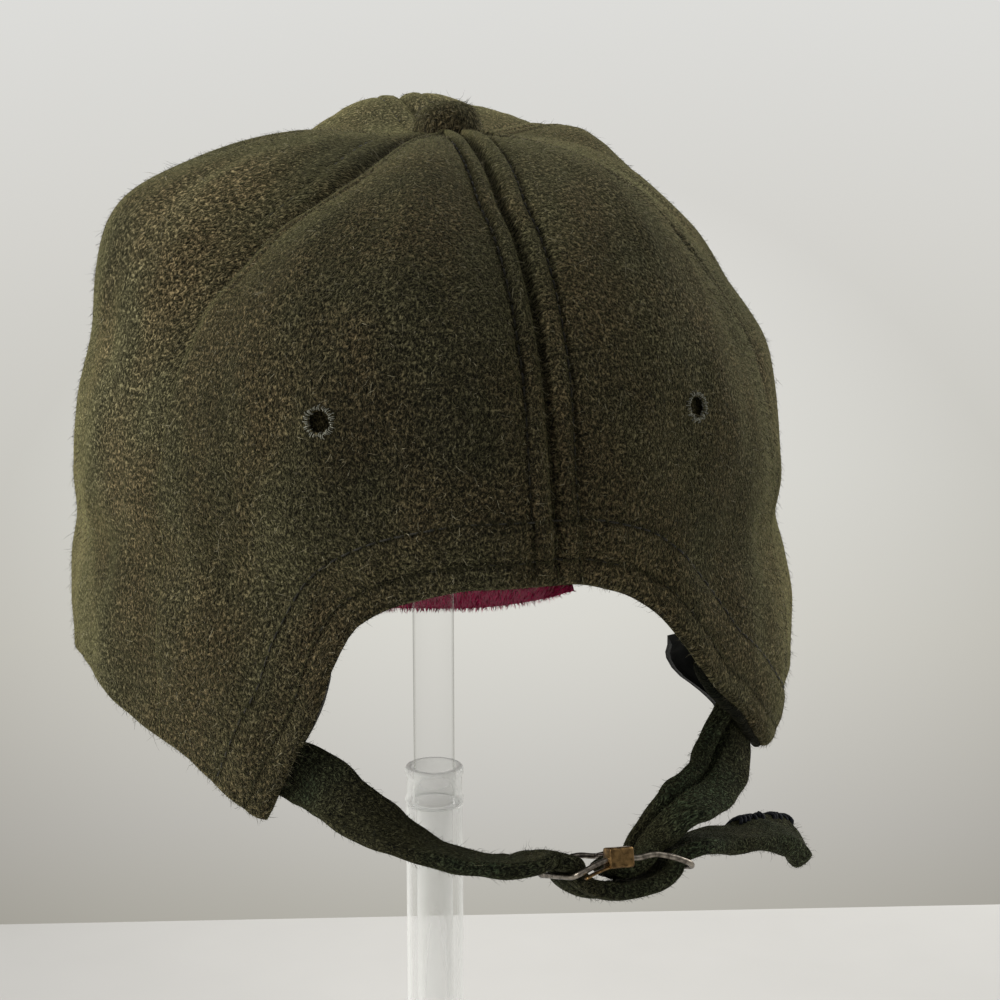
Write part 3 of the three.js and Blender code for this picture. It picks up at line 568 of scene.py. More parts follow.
def spline(points, steps):
    """A smooth curve through points, steps to a span."""
    points = np.asarray(points, float)
    padded = np.concatenate([2 * points[:1] - points[1:2], points, 2 * points[-1:] - points[-2:-1]])
    t = np.arange(steps)[:, None] / steps
    out = []
    for k in range(len(points) - 1):
        p0, p1, p2, p3 = padded[k : k + 4]
        square = (2 * p0 - 5 * p1 + 4 * p2 - p3) * t**2
        cube = (3 * p1 - p0 - 3 * p2 + p3) * t**3
        out.append(0.5 * (2 * p1 + (p2 - p0) * t + square + cube))
    return np.concatenate([*out, points[-1:]])


def tube(path, radius, sides, reference, ring=False):
    """Points and faces of a round tube along a path."""
    run = unit(np.roll(path, -1, 0) - np.roll(path, 1, 0)) if ring else unit(np.gradient(path, axis=0))
    across = unit(np.cross(run, reference))
    return sweep(path, across, np.cross(across, run), circle(sides, radius), ring=ring)


def merged(parts):
    """Several (points, faces) pairs as one."""
    points, groups, first = [], {}, 0
    for part_points, part_faces in parts:
        for group in part_faces:
            group = np.asarray(group)
            groups.setdefault(group.shape[1], []).append(group + first)
        points.append(part_points)
        first += len(part_points)
    return np.concatenate(points), [np.concatenate(groups[size]) for size in sorted(groups)]


# Materials

class Paint:
    """A tree of shading nodes, with short ways to add nodes and join them."""

    def __init__(self, tree):
        self.nodes = tree.nodes
        self.links = tree.links
        self.shader = tree.nodes.get("Principled BSDF")

    def node(self, kind, **settings):
        made = self.nodes.new(kind)
        for key, value in settings.items():
            if key in made.inputs:
                made.inputs[key].default_value = value
            else:
                setattr(made, key, value)
        return made

    def join(self, value, socket):
        """Links a node's output to a socket, or sets the socket to a number, colour or vector."""
        if hasattr(value, "is_linked"):
            self.links.new(value, socket)
        elif socket.type == "RGBA":
            socket.default_value = (*value, 1)
        else:
            socket.default_value = value

    def surface(self, settings):
        """Joins values to the shader's own sockets, by their names."""
        for name, value in settings.items():
            self.join(value, self.shader.inputs[name])

    def place(self):
        return self.node("ShaderNodeTexCoord").outputs["Object"]

    def uv(self, layer):
        return self.node("ShaderNodeUVMap", uv_map=layer).outputs["UV"]

    def split(self, vector):
        made = self.node("ShaderNodeSeparateXYZ")
        self.join(vector, made.inputs[0])
        return made.outputs

    def dot(self, vector, way):
        made = self.node("ShaderNodeVectorMath", operation="DOT_PRODUCT")
        self.join(vector, made.inputs[0])
        self.join(way, made.inputs[1])
        return made.outputs["Value"]

    def maths(self, kind, a, b=0.0, c=0.0):
        made = self.node("ShaderNodeMath", operation=kind)
        for value, socket in zip((a, b, c), made.inputs):
            self.join(value, socket)
        return made.outputs["Value"]

    def mix(self, kind, share, a, b):
        made = self.node("ShaderNodeMix", data_type="RGBA", blend_type=kind)
        for value, name in ((share, "Factor"), (a, "A"), (b, "B")):
            self.join(value, made.inputs[name])
        return made.outputs["Result"]

    def ramp(self, source, stops):
        """Colours at places along a value, a plain number being a grey."""
        made = self.node("ShaderNodeValToRGB")
        elements = made.color_ramp.elements
        while len(elements) < len(stops):
            elements.new(0.5)
        for element, (place, colour) in zip(elements, stops):
            element.position = place
            element.color = (*colour, 1) if isinstance(colour, tuple) else (colour, colour, colour, 1)
        self.join(source, made.inputs["Fac"])
        return made.outputs["Color"]

    def noise(self, vector, scale, detail=2.0, rough=0.5, stretch=None):
        if stretch:
            mapping = self.node("ShaderNodeMapping")
            self.join(stretch, mapping.inputs["Scale"])
            self.join(vector, mapping.inputs["Vector"])
            vector = mapping.outputs["Vector"]
        made = self.node("ShaderNodeTexNoise", Scale=scale, Detail=detail, Roughness=rough)
        self.join(vector, made.inputs["Vector"])
        return made.outputs["Fac"]

    def groove(self, distance, at, wide):
        """1 in the middle of a line at that distance and 0 away from it."""
        off = self.maths("ABSOLUTE", self.maths("SUBTRACT", distance, at))
        near = self.maths("SUBTRACT", 1.0, self.maths("DIVIDE", off, wide))
        return self.maths("MAXIMUM", near, 0.0)

    def bump(self, height, strength, distance):
        made = self.node("ShaderNodeBump", Strength=strength, Distance=distance)
        self.join(height, made.inputs["Height"])
        self.join(made.outputs["Normal"], self.shader.inputs["Normal"])


def new_material(name):
    made = bpy.data.materials.new(name)
    made.use_nodes = True
    return made, Paint(made.node_tree)


def combed_cloth(paint, fleck):
    """The cloth's own map bent a little, so that its nap doesn't run straight."""
    uv = paint.uv("cloth")
    drift = paint.node("ShaderNodeTexNoise", Scale=60.0 * fleck, Detail=2.0)
    paint.join(uv, drift.inputs["Vector"])
    bend = paint.node("ShaderNodeVectorMath", operation="MULTIPLY_ADD")
    for value, socket in zip((drift.outputs["Color"], (0.012, 0.012, 0), uv), bend.inputs):
        paint.join(value, socket)
    return bend.outputs["Vector"]


def wool_grain(paint, fleck):
    """Height of the tufts with the fibres that cross them, and the coarse tufts alone."""
    combed = combed_cloth(paint, fleck)
    fine = paint.noise(combed, 100.0, 2.0, 0.6, stretch=(2.6 * fleck, 1.6 * fleck, 1))
    coarse = paint.noise(combed, 100.0, 2.0, 0.6, stretch=(1.3 * fleck, 0.9 * fleck, 1))
    lying = paint.noise(combed, 100.0, 0.6, 0.5, stretch=(0.9 * fleck, 0.6 * fleck, 1))
    crossing = paint.noise(combed, 100.0, 0.6, 0.5, stretch=(0.7 * fleck, 0.85 * fleck, 1))
    fibres = paint.maths("MAXIMUM", paint.groove(lying, 0.5, 0.05), paint.groove(crossing, 0.47, 0.04))
    tuft = paint.maths("MULTIPLY_ADD", fine, 0.5, paint.maths("MULTIPLY", coarse, 0.5))
    tuft = paint.maths("MULTIPLY_ADD", paint.maths("SUBTRACT", fibres, 0.3), 0.09, tuft)
    return tuft, coarse


def sewn_lines(paint, coarse, shown):
    """How deep a place lies in a seam or a stitch row, uneven by the coarse tufts."""
    edges = paint.split(paint.uv("edges"))
    wobble = paint.maths("MULTIPLY_ADD", coarse, 0.016, -0.008)
    seam = paint.maths("ADD", edges["X"], wobble)
    hem = paint.maths("ADD", edges["Y"], wobble)
    lines = paint.groove(seam, SEAM_ROW * MAP_SCALE, 0.009)
    for row in HEM_ROWS:
        lines = paint.maths("MAXIMUM", lines, paint.groove(hem, row * MAP_SCALE, 0.008))
    lines = paint.maths("MAXIMUM", lines, paint.groove(seam, 0.0, 0.011))
    return paint.maths("MULTIPLY", lines, shown)


def wool(name, tones, sheen=0.26, sewn=False, fleck=1.0):
    """Felted wool: short flecks combed one way over slow brown and green patches, turned toward a lighter
    colour at grazing angles as a painted sheen.
    """
    made, paint = new_material(name)
    spot = paint.place()
    tuft, coarse = wool_grain(paint, fleck)
    flecks = paint.ramp(tuft, [(0.4, 0.0), (0.49, 0.11), (0.56, 0.42), (0.64, 1.1)])
    patches = paint.noise(spot, 48.0, 3.0, 0.55, stretch=(1, 1, 0.6))
    tint = paint.ramp(patches, [(0.4, tones["brown"]), (0.6, tones["green"])])
    shade = paint.ramp(paint.noise(spot, 30.0, 3.0, 0.6), [(0.34, 0.55), (0.66, 1.4)])
    body = paint.mix("MIX", flecks, tones["dark"], tones["light"])
    body = paint.mix("MULTIPLY", 1.0, body, tint)
    body = paint.mix("MULTIPLY", 0.7, body, shade)
    # Painted sheen: the colour turns toward the lighter rim tone where the surface is seen at a grazing angle
    rim = paint.node("ShaderNodeLayerWeight", Blend=0.35).outputs["Facing"]
    edge = paint.ramp(rim, [(0.45, 0.0), (1.0, 1.0)])
    edge = paint.maths("MULTIPLY", edge, paint.maths("MULTIPLY_ADD", tuft, 1.6, -0.3))
    body = paint.mix("MIX", edge, body, tones["rim"])
    relief = tuft
    if sewn:
        worn = paint.split(paint.uv("worn"))
        lines = sewn_lines(paint, coarse, worn["Y"])
        # Painted shade: the colour is darkened in the seam grooves and stitch rows
        body = paint.mix("MULTIPLY", paint.maths("MULTIPLY", lines, 0.8), body, (0.1, 0.1, 0.1))
        relief = paint.maths("SUBTRACT", tuft, paint.maths("MULTIPLY", lines, 0.5))
        # Painted light and shade: the colour is scaled by the painted tone kept in the map's first channel
        tone = paint.node("ShaderNodeVectorMath", operation="SCALE")
        paint.join(body, tone.inputs[0])
        paint.join(paint.maths("DIVIDE", worn["X"], TONE_SCALE), tone.inputs["Scale"])
        body = tone.outputs["Vector"]
    paint.bump(relief, 1.0, 0.0022)
    paint.surface({"Base Color": body, "Roughness": 0.95, "Specular IOR Level": 0.1})
    paint.surface({"Sheen Weight": sheen, "Sheen Roughness": 0.4, "Sheen Tint": (0.6, 0.58, 0.26)})
    return made


def hair_material(name, stops):
    made, paint = new_material(name)
    tone = paint.node("ShaderNodeAttribute", attribute_name="tone").outputs["Fac"]
    paint.surface({"Base Color": paint.ramp(tone, stops), "Roughness": 0.75, "Specular IOR Level": 0.2})
    return made


def grained(name, grain, stops, bump, settings, gloss=None):
    """A material whose colour, relief and gloss follow one grain of a scale, detail and roughness."""
    made, paint = new_material(name)
    height = paint.noise(paint.place(), *grain)
    paint.bump(height, *bump)
    paint.surface({"Base Color": paint.ramp(height, stops), **settings})
    if gloss:
        paint.surface({"Roughness": paint.ramp(height, gloss)})
    return made


def thread_material(name, dark, light, sheen=0.2):
    settings = {"Roughness": 0.8, "Specular IOR Level": 0.2, "Sheen Weight": sheen}
    return grained(name, (2600.0, 2.0, 0.6), [(0.35, dark), (0.65, light)], (0.5, 0.0001), settings)


def metal_material(name, bright, dull, gloss):
    stops = [(0.38, dull), (0.6, bright)]
    gloss_stops = [(0.3, gloss + 0.2), (0.7, gloss)]
    return grained(name, (700.0, 4.0, 0.65), stops, (0.2, 0.0001), {"Metallic": 1.0}, gloss_stops)


def acrylic_material(name, tone, stops):
    """Clear acrylic, let through straight: clearest face on and covered more by its tone toward its edges by
    the stops, painted in place of the light that the acrylic reflects and bends there.
    """
    made, paint = new_material(name)
    haze = paint.noise(paint.place(), 35.0, 3.0, 0.6, stretch=(1, 1, 0.15))
    facing = paint.node("ShaderNodeLayerWeight", Blend=0.5).outputs["Facing"]
    paint.surface({"Base Color": tone, "Alpha": paint.ramp(facing, stops), "IOR": 1.49})
    paint.surface({"Roughness": paint.ramp(haze, [(0.35, 0.02), (0.75, 0.1)])})
    return made


# The rim tone is the lighter colour mixed in at grazing angles: a painted sheen
CAP_TONES = {
    "dark": (0.0035, 0.003, 0.0015),
    "light": (0.245, 0.203, 0.118),
    "brown": (1.05, 0.97, 0.87),
    "green": (0.9, 0.98, 0.9),
    "rim": (0.25, 0.235, 0.1),
}
STRAP_TONES = {
    "dark": (0.002, 0.0025, 0.0015),
    "light": (0.13, 0.132, 0.082),
    "brown": (1.0, 0.94, 0.78),
    "green": (0.72, 0.98, 0.85),
    "rim": (0.05, 0.052, 0.03),
}
# Near black: the tones of a strip of painted shade under the hem
SHADE_STRIP_TONES = {**STRAP_TONES, "light": (0.012, 0.012, 0.008), "rim": (0.02, 0.02, 0.012)}
cap_wool = wool("cap_wool", CAP_TONES, sewn=True)
trim_wool = wool("trim_wool", CAP_TONES)
strap_wool = wool("strap_wool", STRAP_TONES, 0.12, fleck=1.1)
shade_strip_wool = wool("shade_strip_wool", SHADE_STRIP_TONES, 0.05)

# From the darkest hairs to the lightest
HAIR_STOPS = [
    (0.0, (0.006, 0.005, 0.003)),
    (0.5, (0.03, 0.026, 0.015)),
    (0.85, (0.19, 0.165, 0.1)),
    (1.0, (0.46, 0.42, 0.28)),
]
STRAP_STOPS = [(0.0, (0.004, 0.005, 0.003)), (0.5, (0.02, 0.022, 0.013)), (1.0, (0.16, 0.155, 0.09))]
PLUSH_STOPS = [(0.0, (0.05, 0.0004, 0.01)), (0.6, (0.28, 0.002, 0.048)), (1.0, (0.6, 0.02, 0.14))]
nap_hair = hair_material("wool_hair", HAIR_STOPS)
strap_hair = hair_material("strap_hair", STRAP_STOPS)
plush_hair = hair_material("plush_hair", PLUSH_STOPS)

seam_thread = thread_material("seam_thread", (0.004, 0.004, 0.0025), (0.035, 0.032, 0.02))
eyelet_thread = thread_material("eyelet_thread", (0.05, 0.05, 0.038), (0.45, 0.45, 0.36))
navy_thread = thread_material("navy_thread", (0.002, 0.003, 0.005), (0.014, 0.017, 0.024), 0.0)
nickel = metal_material("nickel_wire", (0.34, 0.3, 0.25), (0.1, 0.085, 0.07), 0.28)
brass = metal_material("brass_sleeve", (0.3, 0.185, 0.075), (0.1, 0.06, 0.026), 0.32)
sweatband_black = grained(
    "sweatband_black",
    (900.0, 4.0, 0.6),
    [(0.3, (0.002, 0.003, 0.002)), (0.7, (0.008, 0.009, 0.008))],
    (0.35, 0.0003),
    {"Roughness": 0.75},
)
crimson_plush = grained(
    "crimson_plush",
    (1400.0, 3.0, 0.6),
    [(0.3, (0.05, 0.0004, 0.01)), (0.7, (0.26, 0.002, 0.045))],
    (0.6, 0.0004),
    {"Roughness": 0.9, "Sheen Weight": 0.05, "Sheen Tint": (0.9, 0.1, 0.3)},
)

# How much each clear piece is covered by its tone, from face on to edge on: painted reflection and bending of
# light at its edges
ROD_COVER = [(0.0, 0.02), (0.5, 0.05), (0.75, 0.3), (1.0, 0.8)]
TUBE_COVER = [(0.0, 0.1), (0.4, 0.2), (0.62, 0.55), (1.0, 0.85)]
rod_acrylic = acrylic_material("clear_rod", (0.36, 0.38, 0.33), ROD_COVER)
tube_acrylic = acrylic_material("clear_tube", (0.93, 0.94, 0.92), TUBE_COVER)


# Panels of the crown

EYELETS = [
    {"name": "eyelet_left", "panel": "back_left", "angle": -29.8, "height": 86.8},
    {"name": "eyelet_right", "panel": "back_right", "angle": 26.1, "height": 87.4},
]
NEAR_SEAM = np.array((-0.1, 0.4, 0.8, 1.3, 2.0, 3.0, 4.0, 4.6, 5.0, 5.4, 5.8, 6.3, 7.2, 9))
NEAR_EDGE = np.array((0.0, 0.22, 0.5, 0.85, 1.3, 1.9, 2.8, 4.0))
DOME_GRID = 76
WALL_GRID = 34
GRID_WIDE = 2.1
NARROWEST_FULL = 10.2
LOWEST_FULL = 14
TURNED_EDGE = 1.4
EYELET_SLACK = 0.25
EYELET_THREADS = 46


def edge_line(kind):
    """The cap's lower edge as points of arc length and height: the opening between the tips, or the rim."""
    tips = (-EDGE_ROWS[TIP]["left"], EDGE_ROWS[TIP]["right"])
    angles = np.linspace(*tips, 500) if kind == "opening" else np.linspace(tips[1], 360 + tips[0], 700)
    return np.stack([np.radians(angles) * MEAN_RADIUS, edge_height(angles)], -1)


OPENING = edge_line("opening")
RIM = edge_line("rim")
OPENING_RUN = unit(np.gradient(OPENING, axis=0))
INTO_CLOTH = np.stack([-OPENING_RUN[:, 1], OPENING_RUN[:, 0]], -1)


def distance_to(line, angle, height):
    """How far places of the cloth lie from an edge line, in millimetres along the cloth."""
    x = np.radians(angle).ravel() * MEAN_RADIUS
    best = np.full(x.size, 1e9)
    for turn in (-2 * math.pi * MEAN_RADIUS, 0.0, 2 * math.pi * MEAN_RADIUS):
        near = line[(line[:, 0] > x.min() + turn - 40) & (line[:, 0] < x.max() + turn + 40)]
        if len(near) < 2:
            continue
        places = np.stack([x + turn, height.ravel()], -1)
        a, b = near[:-1], near[1:]
        run = b - a
        for k in range(len(a)):
            share = np.clip(((places - a[k]) @ run[k]) / (run[k] @ run[k] + 1e-9), 0, 1)
            off = places - a[k] - share[:, None] * run[k]
            best = np.minimum(best, off[:, 0] ** 2 + off[:, 1] ** 2)
    return np.sqrt(best).reshape(angle.shape)


def dome_rows():
    """Shares down the crown evenly spaced along the cloth, its length at each, and its whole length."""
    sample = np.linspace(0.03, 1, 400)
    length = path_length(plain_crown(0.0, sample, 10.0))
    shares = np.interp(np.linspace(0, length[-1], DOME_GRID), length, sample)
    return shares, np.interp(shares, sample, length), length[-1]


def places_across(width, middle):
    """Places across a panel of a width, close together near its seams."""
    near = NEAR_SEAM * min(1, width / 2 / NARROWEST_FULL)
    between = np.linspace(near[-1], width - near[-1], middle + 2)[1:-1]
    return np.concatenate([near, between, (width - near)[::-1]])


def wall_rises(reach):
    """Heights above the lower edge of the wall's rows, close together near the edge."""
    scale = np.minimum(1, reach / LOWEST_FULL)
    spare = WALL_GRID - len(NEAR_EDGE) + 1
    rows = [reach - (reach - NEAR_EDGE[-1] * scale) * j / spare for j in range(1, spare + 1)]
    return rows + [near * scale for near in NEAR_EDGE[-2::-1]]


def panel_grid(panel):
    """Angle, share down the crown, distance from the seams and along the cloth, for a panel's grid."""
    dome, dome_downs, dome_length = dome_rows()
    span = math.radians(panel["to"] - panel["from"])
    middle = int(span * MEAN_RADIUS / GRID_WIDE)
    angles, shares, seams, downs = [], [], [], []
    for t, down in zip(dome, dome_downs):
        width = span * MEAN_RADIUS * math.sin(math.radians(90 * t)) ** (2 / DOME_POWER)
        places = places_across(width, middle)
        angles.append(panel["from"] + places / width * math.degrees(span))
        seams.append(np.minimum(places, width - places))
        shares.append(np.full(len(places), t))
        downs.append(np.full(len(places), down))
    reach = WIDEST_AT - edge_height(angles[-1])
    for up in wall_rises(reach):
        angles.append(angles[-1])
        seams.append(seams[-1])
        shares.append(1 + (reach - up) / reach)
        downs.append(dome_length + reach - up)
    return np.array(angles), np.array(shares), np.array(seams), np.array(downs)


def felled(seam, height):
    """Relief of a seam pressed open: a groove, a soft ridge on each side and a stitch row."""
    high = smooth(60, 115, height)
    line = -(1.4 + 0.5 * high) * np.exp(-((seam / 1.0) ** 2))
    ridge = (0.6 + 0.4 * high) * smooth(0.4, 2.2, seam) * (1 - smooth(4.3, 5.8, seam))
    row = -(0.5 + 0.5 * high) * np.exp(-(((seam - SEAM_ROW) / 0.75) ** 2))
    return line + ridge + row


def hemmed(hem):
    """Relief of the turned hem round the back opening: double cloth up to the inner stitch row."""
    double = 0.6 * (1 - smooth(HEM_ROWS[1] - 1.2, HEM_ROWS[1] + 0.8, hem))
    rows = sum(-0.35 * np.exp(-(((hem - row) / 0.7) ** 2)) for row in HEM_ROWS)
    pad = 0.25 * np.exp(-(((hem - 2.6) / 1.6) ** 2)) + 0.2 * np.exp(-(((hem - 9.7) / 2.4) ** 2))
    return double + rows + pad


def edge_distances(angle, height):
    """Distance from the back opening's edge and from the nearest edge, a large one high on the crown."""
    opening = np.full(angle.shape, 60.0)
    rim = np.full(angle.shape, 60.0)
    lower = height < 95
    opening[lower] = distance_to(OPENING, angle[lower], height[lower])
    rim[lower] = distance_to(RIM, angle[lower], height[lower])
    return opening, np.minimum(opening, rim)


def panel_maps(panel, angle, t, height, seam, down, opening):
    """Maps of the cloth, of its distances from seam and hem, and of its painted light and shade tone and
    shown sewing.
    """
    centre = (panel["from"] + panel["to"]) / 2
    share = np.sin(np.radians(90 * np.minimum(t, 1))) ** (2 / DOME_POWER)
    around = np.radians(angle - centre) * MEAN_RADIUS * share
    shows = np.where(opening < 18, 1.0, seam_shows(angle, height))
    pairs = {
        "cloth": (around * MAP_SCALE, down * MAP_SCALE),
        "edges": (seam * MAP_SCALE, opening * MAP_SCALE),
        "worn": (painted_light_tone(angle, height) * TONE_SCALE, shows),
    }
    maps = {name: np.stack(pair, -1).reshape(-1, 2) for name, pair in pairs.items()}
    inner = {**maps, "edges": maps["edges"] + 0.5}
    return {name: np.concatenate([maps[name], inner[name]]) for name in maps}


def nap_weight(outer, t, edge):
    """Where the nap grows: thicker on the edge, thin under the button, and none on the eyelets."""
    weight = np.where(t < 0.09, 0.2, 1.0) * (1 + 1.2 * (1 - smooth(0, 4, edge)))
    for eyelet in EYELETS:
        away = np.linalg.norm(outer - eyelet_frame(eyelet)[0], axis=-1)
        weight = weight * (away > EYELET_OUTER + 0.6)
    return weight


def make_panel(panel):
    """A panel's cloth, with its edges turned round, and the nap on its outer face."""
    angle, t, seam, down = panel_grid(panel)
    height = plain_crown(angle, t, edge_height(angle))[..., 2]
    angle = angle + seam_shift(angle, height)
    low = edge_height(angle)
    height = plain_crown(angle, t, low)[..., 2]
    opening, edge = edge_distances(angle, height)
    turned = rounding(edge, TURNED_EDGE, 0.002)
    sewn = felled(seam, height) * smooth(0.5, 6, edge) * seam_shows(angle, height)
    relief = sewn + hemmed(opening) * turned + ripple(angle, height) * smooth(0.1, 0.35, t)
    outer = crown(angle, t, (WALL / 2) * (1 - turned) - relief, low)
    inner = crown(angle, t, WALL - (WALL / 2) * (1 - turned), low)
    points = np.concatenate([outer.reshape(-1, 3), inner.reshape(-1, 3)])
    faces = shell_faces(*angle.shape)
    maps = panel_maps(panel, angle, t, height, seam, down, opening)
    name = panel["name"]
    piece = build("wool_" + name, points, faces, cap_wool, "wool", ("panel_" + name,), uvs=maps)
    # The last faces are the cut sides along the seams, which stay flat
    soft = np.ones(len(piece.data.polygons), bool)
    soft[-2 * (angle.shape[0] - 1):] = False
    piece.data.polygons.foreach_set("use_smooth", soft)
    normals = surface_normals(outer, np.array((0, 0, 60)))
    nap("nap_" + name, outer, normals, panel["hairs"], nap_hair, "wool", nap_weight(outer, t, edge))
    return piece


def eyelet_frame(eyelet):
    """The eyelet's centre, its outward axis and two directions across it."""
    angle, t = eyelet["angle"], crown_share(eyelet["height"])
    here = crown(angle, t)
    around = crown(angle + 2.5, t) - crown(angle - 2.5, t)
    down = crown(angle, t + 0.05) - crown(angle, t - 0.05)
    normal = unit(np.cross(around, down))
    normal = -normal if normal[1] > 0 else normal
    across = unit(np.cross((0, 0, 1), normal))
    here = here + normal * ripple(angle, here[2])
    return here, normal, across, np.cross(normal, across)


def pierce(piece, eyelet):
    """Cuts the eyelet's hole through its panel."""
    here, normal, across, upright = eyelet_frame(eyelet)
    ends = np.array([here - normal * 9, here + normal * 9])
    round_hole = circle(40, EYELET_HOLE + EYELET_SLACK)
    points, faces = sweep(ends, np.array([across] * 2), np.array([upright] * 2), round_hole)
    drill = build("drill", points, faces, piece.data.materials[0], "wool")
    cut = piece.modifiers.new("hole", "BOOLEAN")
    cut.object = drill
    cut.operation = "DIFFERENCE"
    cut.solver = "EXACT"
    shown = bpy.context.evaluated_depsgraph_get()
    mesh = bpy.data.meshes.new_from_object(piece.evaluated_get(shown))
    piece.modifiers.clear()
    piece.data = mesh
    bpy.data.objects.remove(drill)


def stitch_eyelet(eyelet):
    """Overcast threads laid round the hole, from inside its rim out over the cloth."""
    here, normal, across, upright = eyelet_frame(eyelet)
    parts = []
    for k in range(EYELET_THREADS):
        turn = 2 * math.pi * (k + rng.uniform(-0.3, 0.3)) / EYELET_THREADS
        way = across * math.cos(turn) + upright * math.sin(turn)
        outer = EYELET_OUTER - 0.1 + rng.uniform(-0.5, 0.3)
        inner = EYELET_HOLE + 0.55 + rng.uniform(-0.2, 0.3)
        height = 0.3 + rng.uniform(-0.15, 0.15)
        rows = [(inner - 0.2, -0.5), (inner, height - 0.2), (inner + 0.3, height)]
        rows += [(outer - 0.3, height - 0.05), (outer, -0.3)]
        path = spline([here + way * r + normal * c for r, c in rows], 3)
        parts.append(tube(path, rng.uniform(0.07, 0.11), 5, np.cross(normal, way)))
    points, faces = merged(parts)
    build(eyelet["name"] + "_threads", points, faces, eyelet_thread, "eyelet_thread", (eyelet["name"],))


def stitches(path, normals):
    """Short threads along a path, each dipping into the cloth at its ends."""
    length = path_length(path)
    parts = []
    for start in np.arange(0.5, length[-1] - STITCH_LONG, STITCH_LONG):
        ends = start + np.array((0.15, 0.6, 1.5, 2.3, 2.75)) + rng.uniform(-0.15, 0.15)
        places = between_rows(ends, length, path)
        out = between_rows(ends, length, normals)
        dip = np.array((-0.45, 0.12, 0.3, 0.12, -0.45))[:, None] + rng.uniform(-0.12, 0.1)
        parts.append(tube(spline(places + out * dip, 2), THREAD_THICK, 5, out[2]))
    return parts


def seam_row(seam, way):
    """A stitch row beside a seam, from near the button to near the lower edge."""
    t = np.linspace(0.14, 1, 120)
    share = np.sin(np.radians(90 * t)) ** (2 / DOME_POWER)
    angle = seam + way * np.degrees(SEAM_ROW / (MEAN_RADIUS * share))
    low = float(edge_height(seam + way * 3.8)) + 1.5
    height = np.concatenate([plain_crown(0.0, t, 0.0)[..., 2], np.linspace(WIDEST_AT, low, 50)[1:]])
    angle = np.concatenate([angle, np.full(49, angle[-1])])
    angle = angle + seam_shift(angle, height)
    shown = np.ones(len(angle), bool) if seam == 0 else height > SIDE_STITCHES_ABOVE
    angle, height = angle[shown], height[shown]
    return on_cloth(angle, height, ripple(angle, height) - 0.7)


def hem_row(row):
    """A stitch row round the back opening."""
    line = OPENING + INTO_CLOTH * row
    angle, height = np.degrees(line[:, 0] / MEAN_RADIUS), line[:, 1]
    clear = (distance_to(RIM, angle, height) > 2) & (distance_to(OPENING, angle, height) > row - 0.4)
    angle, height = angle[clear], height[clear]
    return on_cloth(angle, height, ripple(angle, height) - 0.12)


def sew():
    """Stitch rows on both sides of each seam and round the back opening."""
    parts = []
    for panel in PANELS:
        for way in (-1, 1):
            parts += stitches(*seam_row(panel["to"], way))
    for row in HEM_ROWS:
        parts += stitches(*hem_row(row))
    build("seam_stitches", *merged(parts), seam_thread, "wool")


def make_shade_strip():
    """A near-black strip inside the hem's edge beside the right tip, showing past the cloth: painted shade
    under the hem, not a part of the cap.
    """
    angle = np.degrees(OPENING[:, 0] / MEAN_RADIUS)
    here = (angle > 26) & (angle < EDGE_ROWS[TIP]["right"] - 1.2)
    share = np.linspace(0, 1, here.sum())
    past = 1.5 * np.sin(np.pi * np.clip(share, 0, 1)) ** 0.5 * (1 + 0.12 * np.sin(share * 40))
    line = OPENING[here] + INTO_CLOTH[here] * (0.9 - past)[:, None]
    path, _ = on_cloth(np.degrees(line[:, 0] / MEAN_RADIUS), line[:, 1], -WALL + 0.3)
    points, faces = tube(path[::3], 1.25, 10, np.array((0, -1.0, 0.2)))
    build("hem_shade_strip", points, faces, shade_strip_wool, "wool", uvs={"cloth": points[:, 1:] * MAP_SCALE})


for panel in PANELS:
    piece = make_panel(panel)
    for eyelet in EYELETS:
        if eyelet["panel"] == panel["name"]:
            pierce(piece, eyelet)
for eyelet in EYELETS:
    stitch_eyelet(eyelet)
make_shade_strip()
sew()


# Covered button

BUTTON_CENTRE = CROWN_SHIFT + TOP_SHIFT
BUTTON_SUNK = 1.3


def button_grid(foot):
    """The button's outer face as rings from its foot to its crown, and the ring tucked in under it."""
    turn = np.linspace(0, math.pi / 2, 26)[:, None]
    around = np.linspace(0, 2 * math.pi, 72, endpoint=False)[None]
    uneven = 1 + 0.025 * np.sin(3 * around + 1) + 0.018 * np.sin(7 * around)
    radius = (BUTTON_RADIUS + 0.1) * np.cos(turn) ** 0.62 * uneven
    tall = foot - 0.9 + (BUTTON_TALL + 0.7) * np.sin(turn) ** 0.9 + 0.15 * np.sin(5 * around + 3 * turn)
    x = BUTTON_CENTRE + radius * np.cos(around)
    side = np.stack([x, radius * np.sin(around), tall * np.ones_like(radius)], -1)
    side[-1] = np.array((BUTTON_CENTRE, 0, side[-1, 0, 2]))
    under = side[:1] * np.array((1, 1, 0)) + np.array((0, 0, foot - BUTTON_SUNK))
    under = (under - (BUTTON_CENTRE, 0, 0)) * (0.9, 0.9, 1) + (BUTTON_CENTRE, 0, 0)
    return side, under


def make_button():
    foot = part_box("button")[0].z / MM - CAP_LIFT
    side, under = button_grid(foot)
    grid = np.concatenate([under, side])
    rows, columns = grid.shape[:2]
    points = np.concatenate([grid.reshape(-1, 3), [(BUTTON_CENTRE, 0, foot - BUTTON_SUNK)]])
    faces = [grid_faces(rows, columns, ring=True), end_caps(rows, columns)[:columns]]
    around = np.tile(np.arange(columns) / columns * 50, rows)
    uv = np.stack([around, np.repeat(np.arange(rows) * 0.45, columns)], -1)
    uv = np.concatenate([uv, [(0, 0)]]) * MAP_SCALE
    build("wool_button", points, faces, trim_wool, "wool", ("button",), uvs={"cloth": uv})
    closed = np.concatenate([side, side[:, :1]], 1)[::-1]
    normals = surface_normals(closed, (BUTTON_CENTRE, 0, foot - 4))
    nap("nap_button", closed, normals, BUTTON_HAIRS, nap_hair, "wool", lean=STIFF_LEAN)


make_button()


# Sweatband inside the lower edge

BAND_CORNER = 46


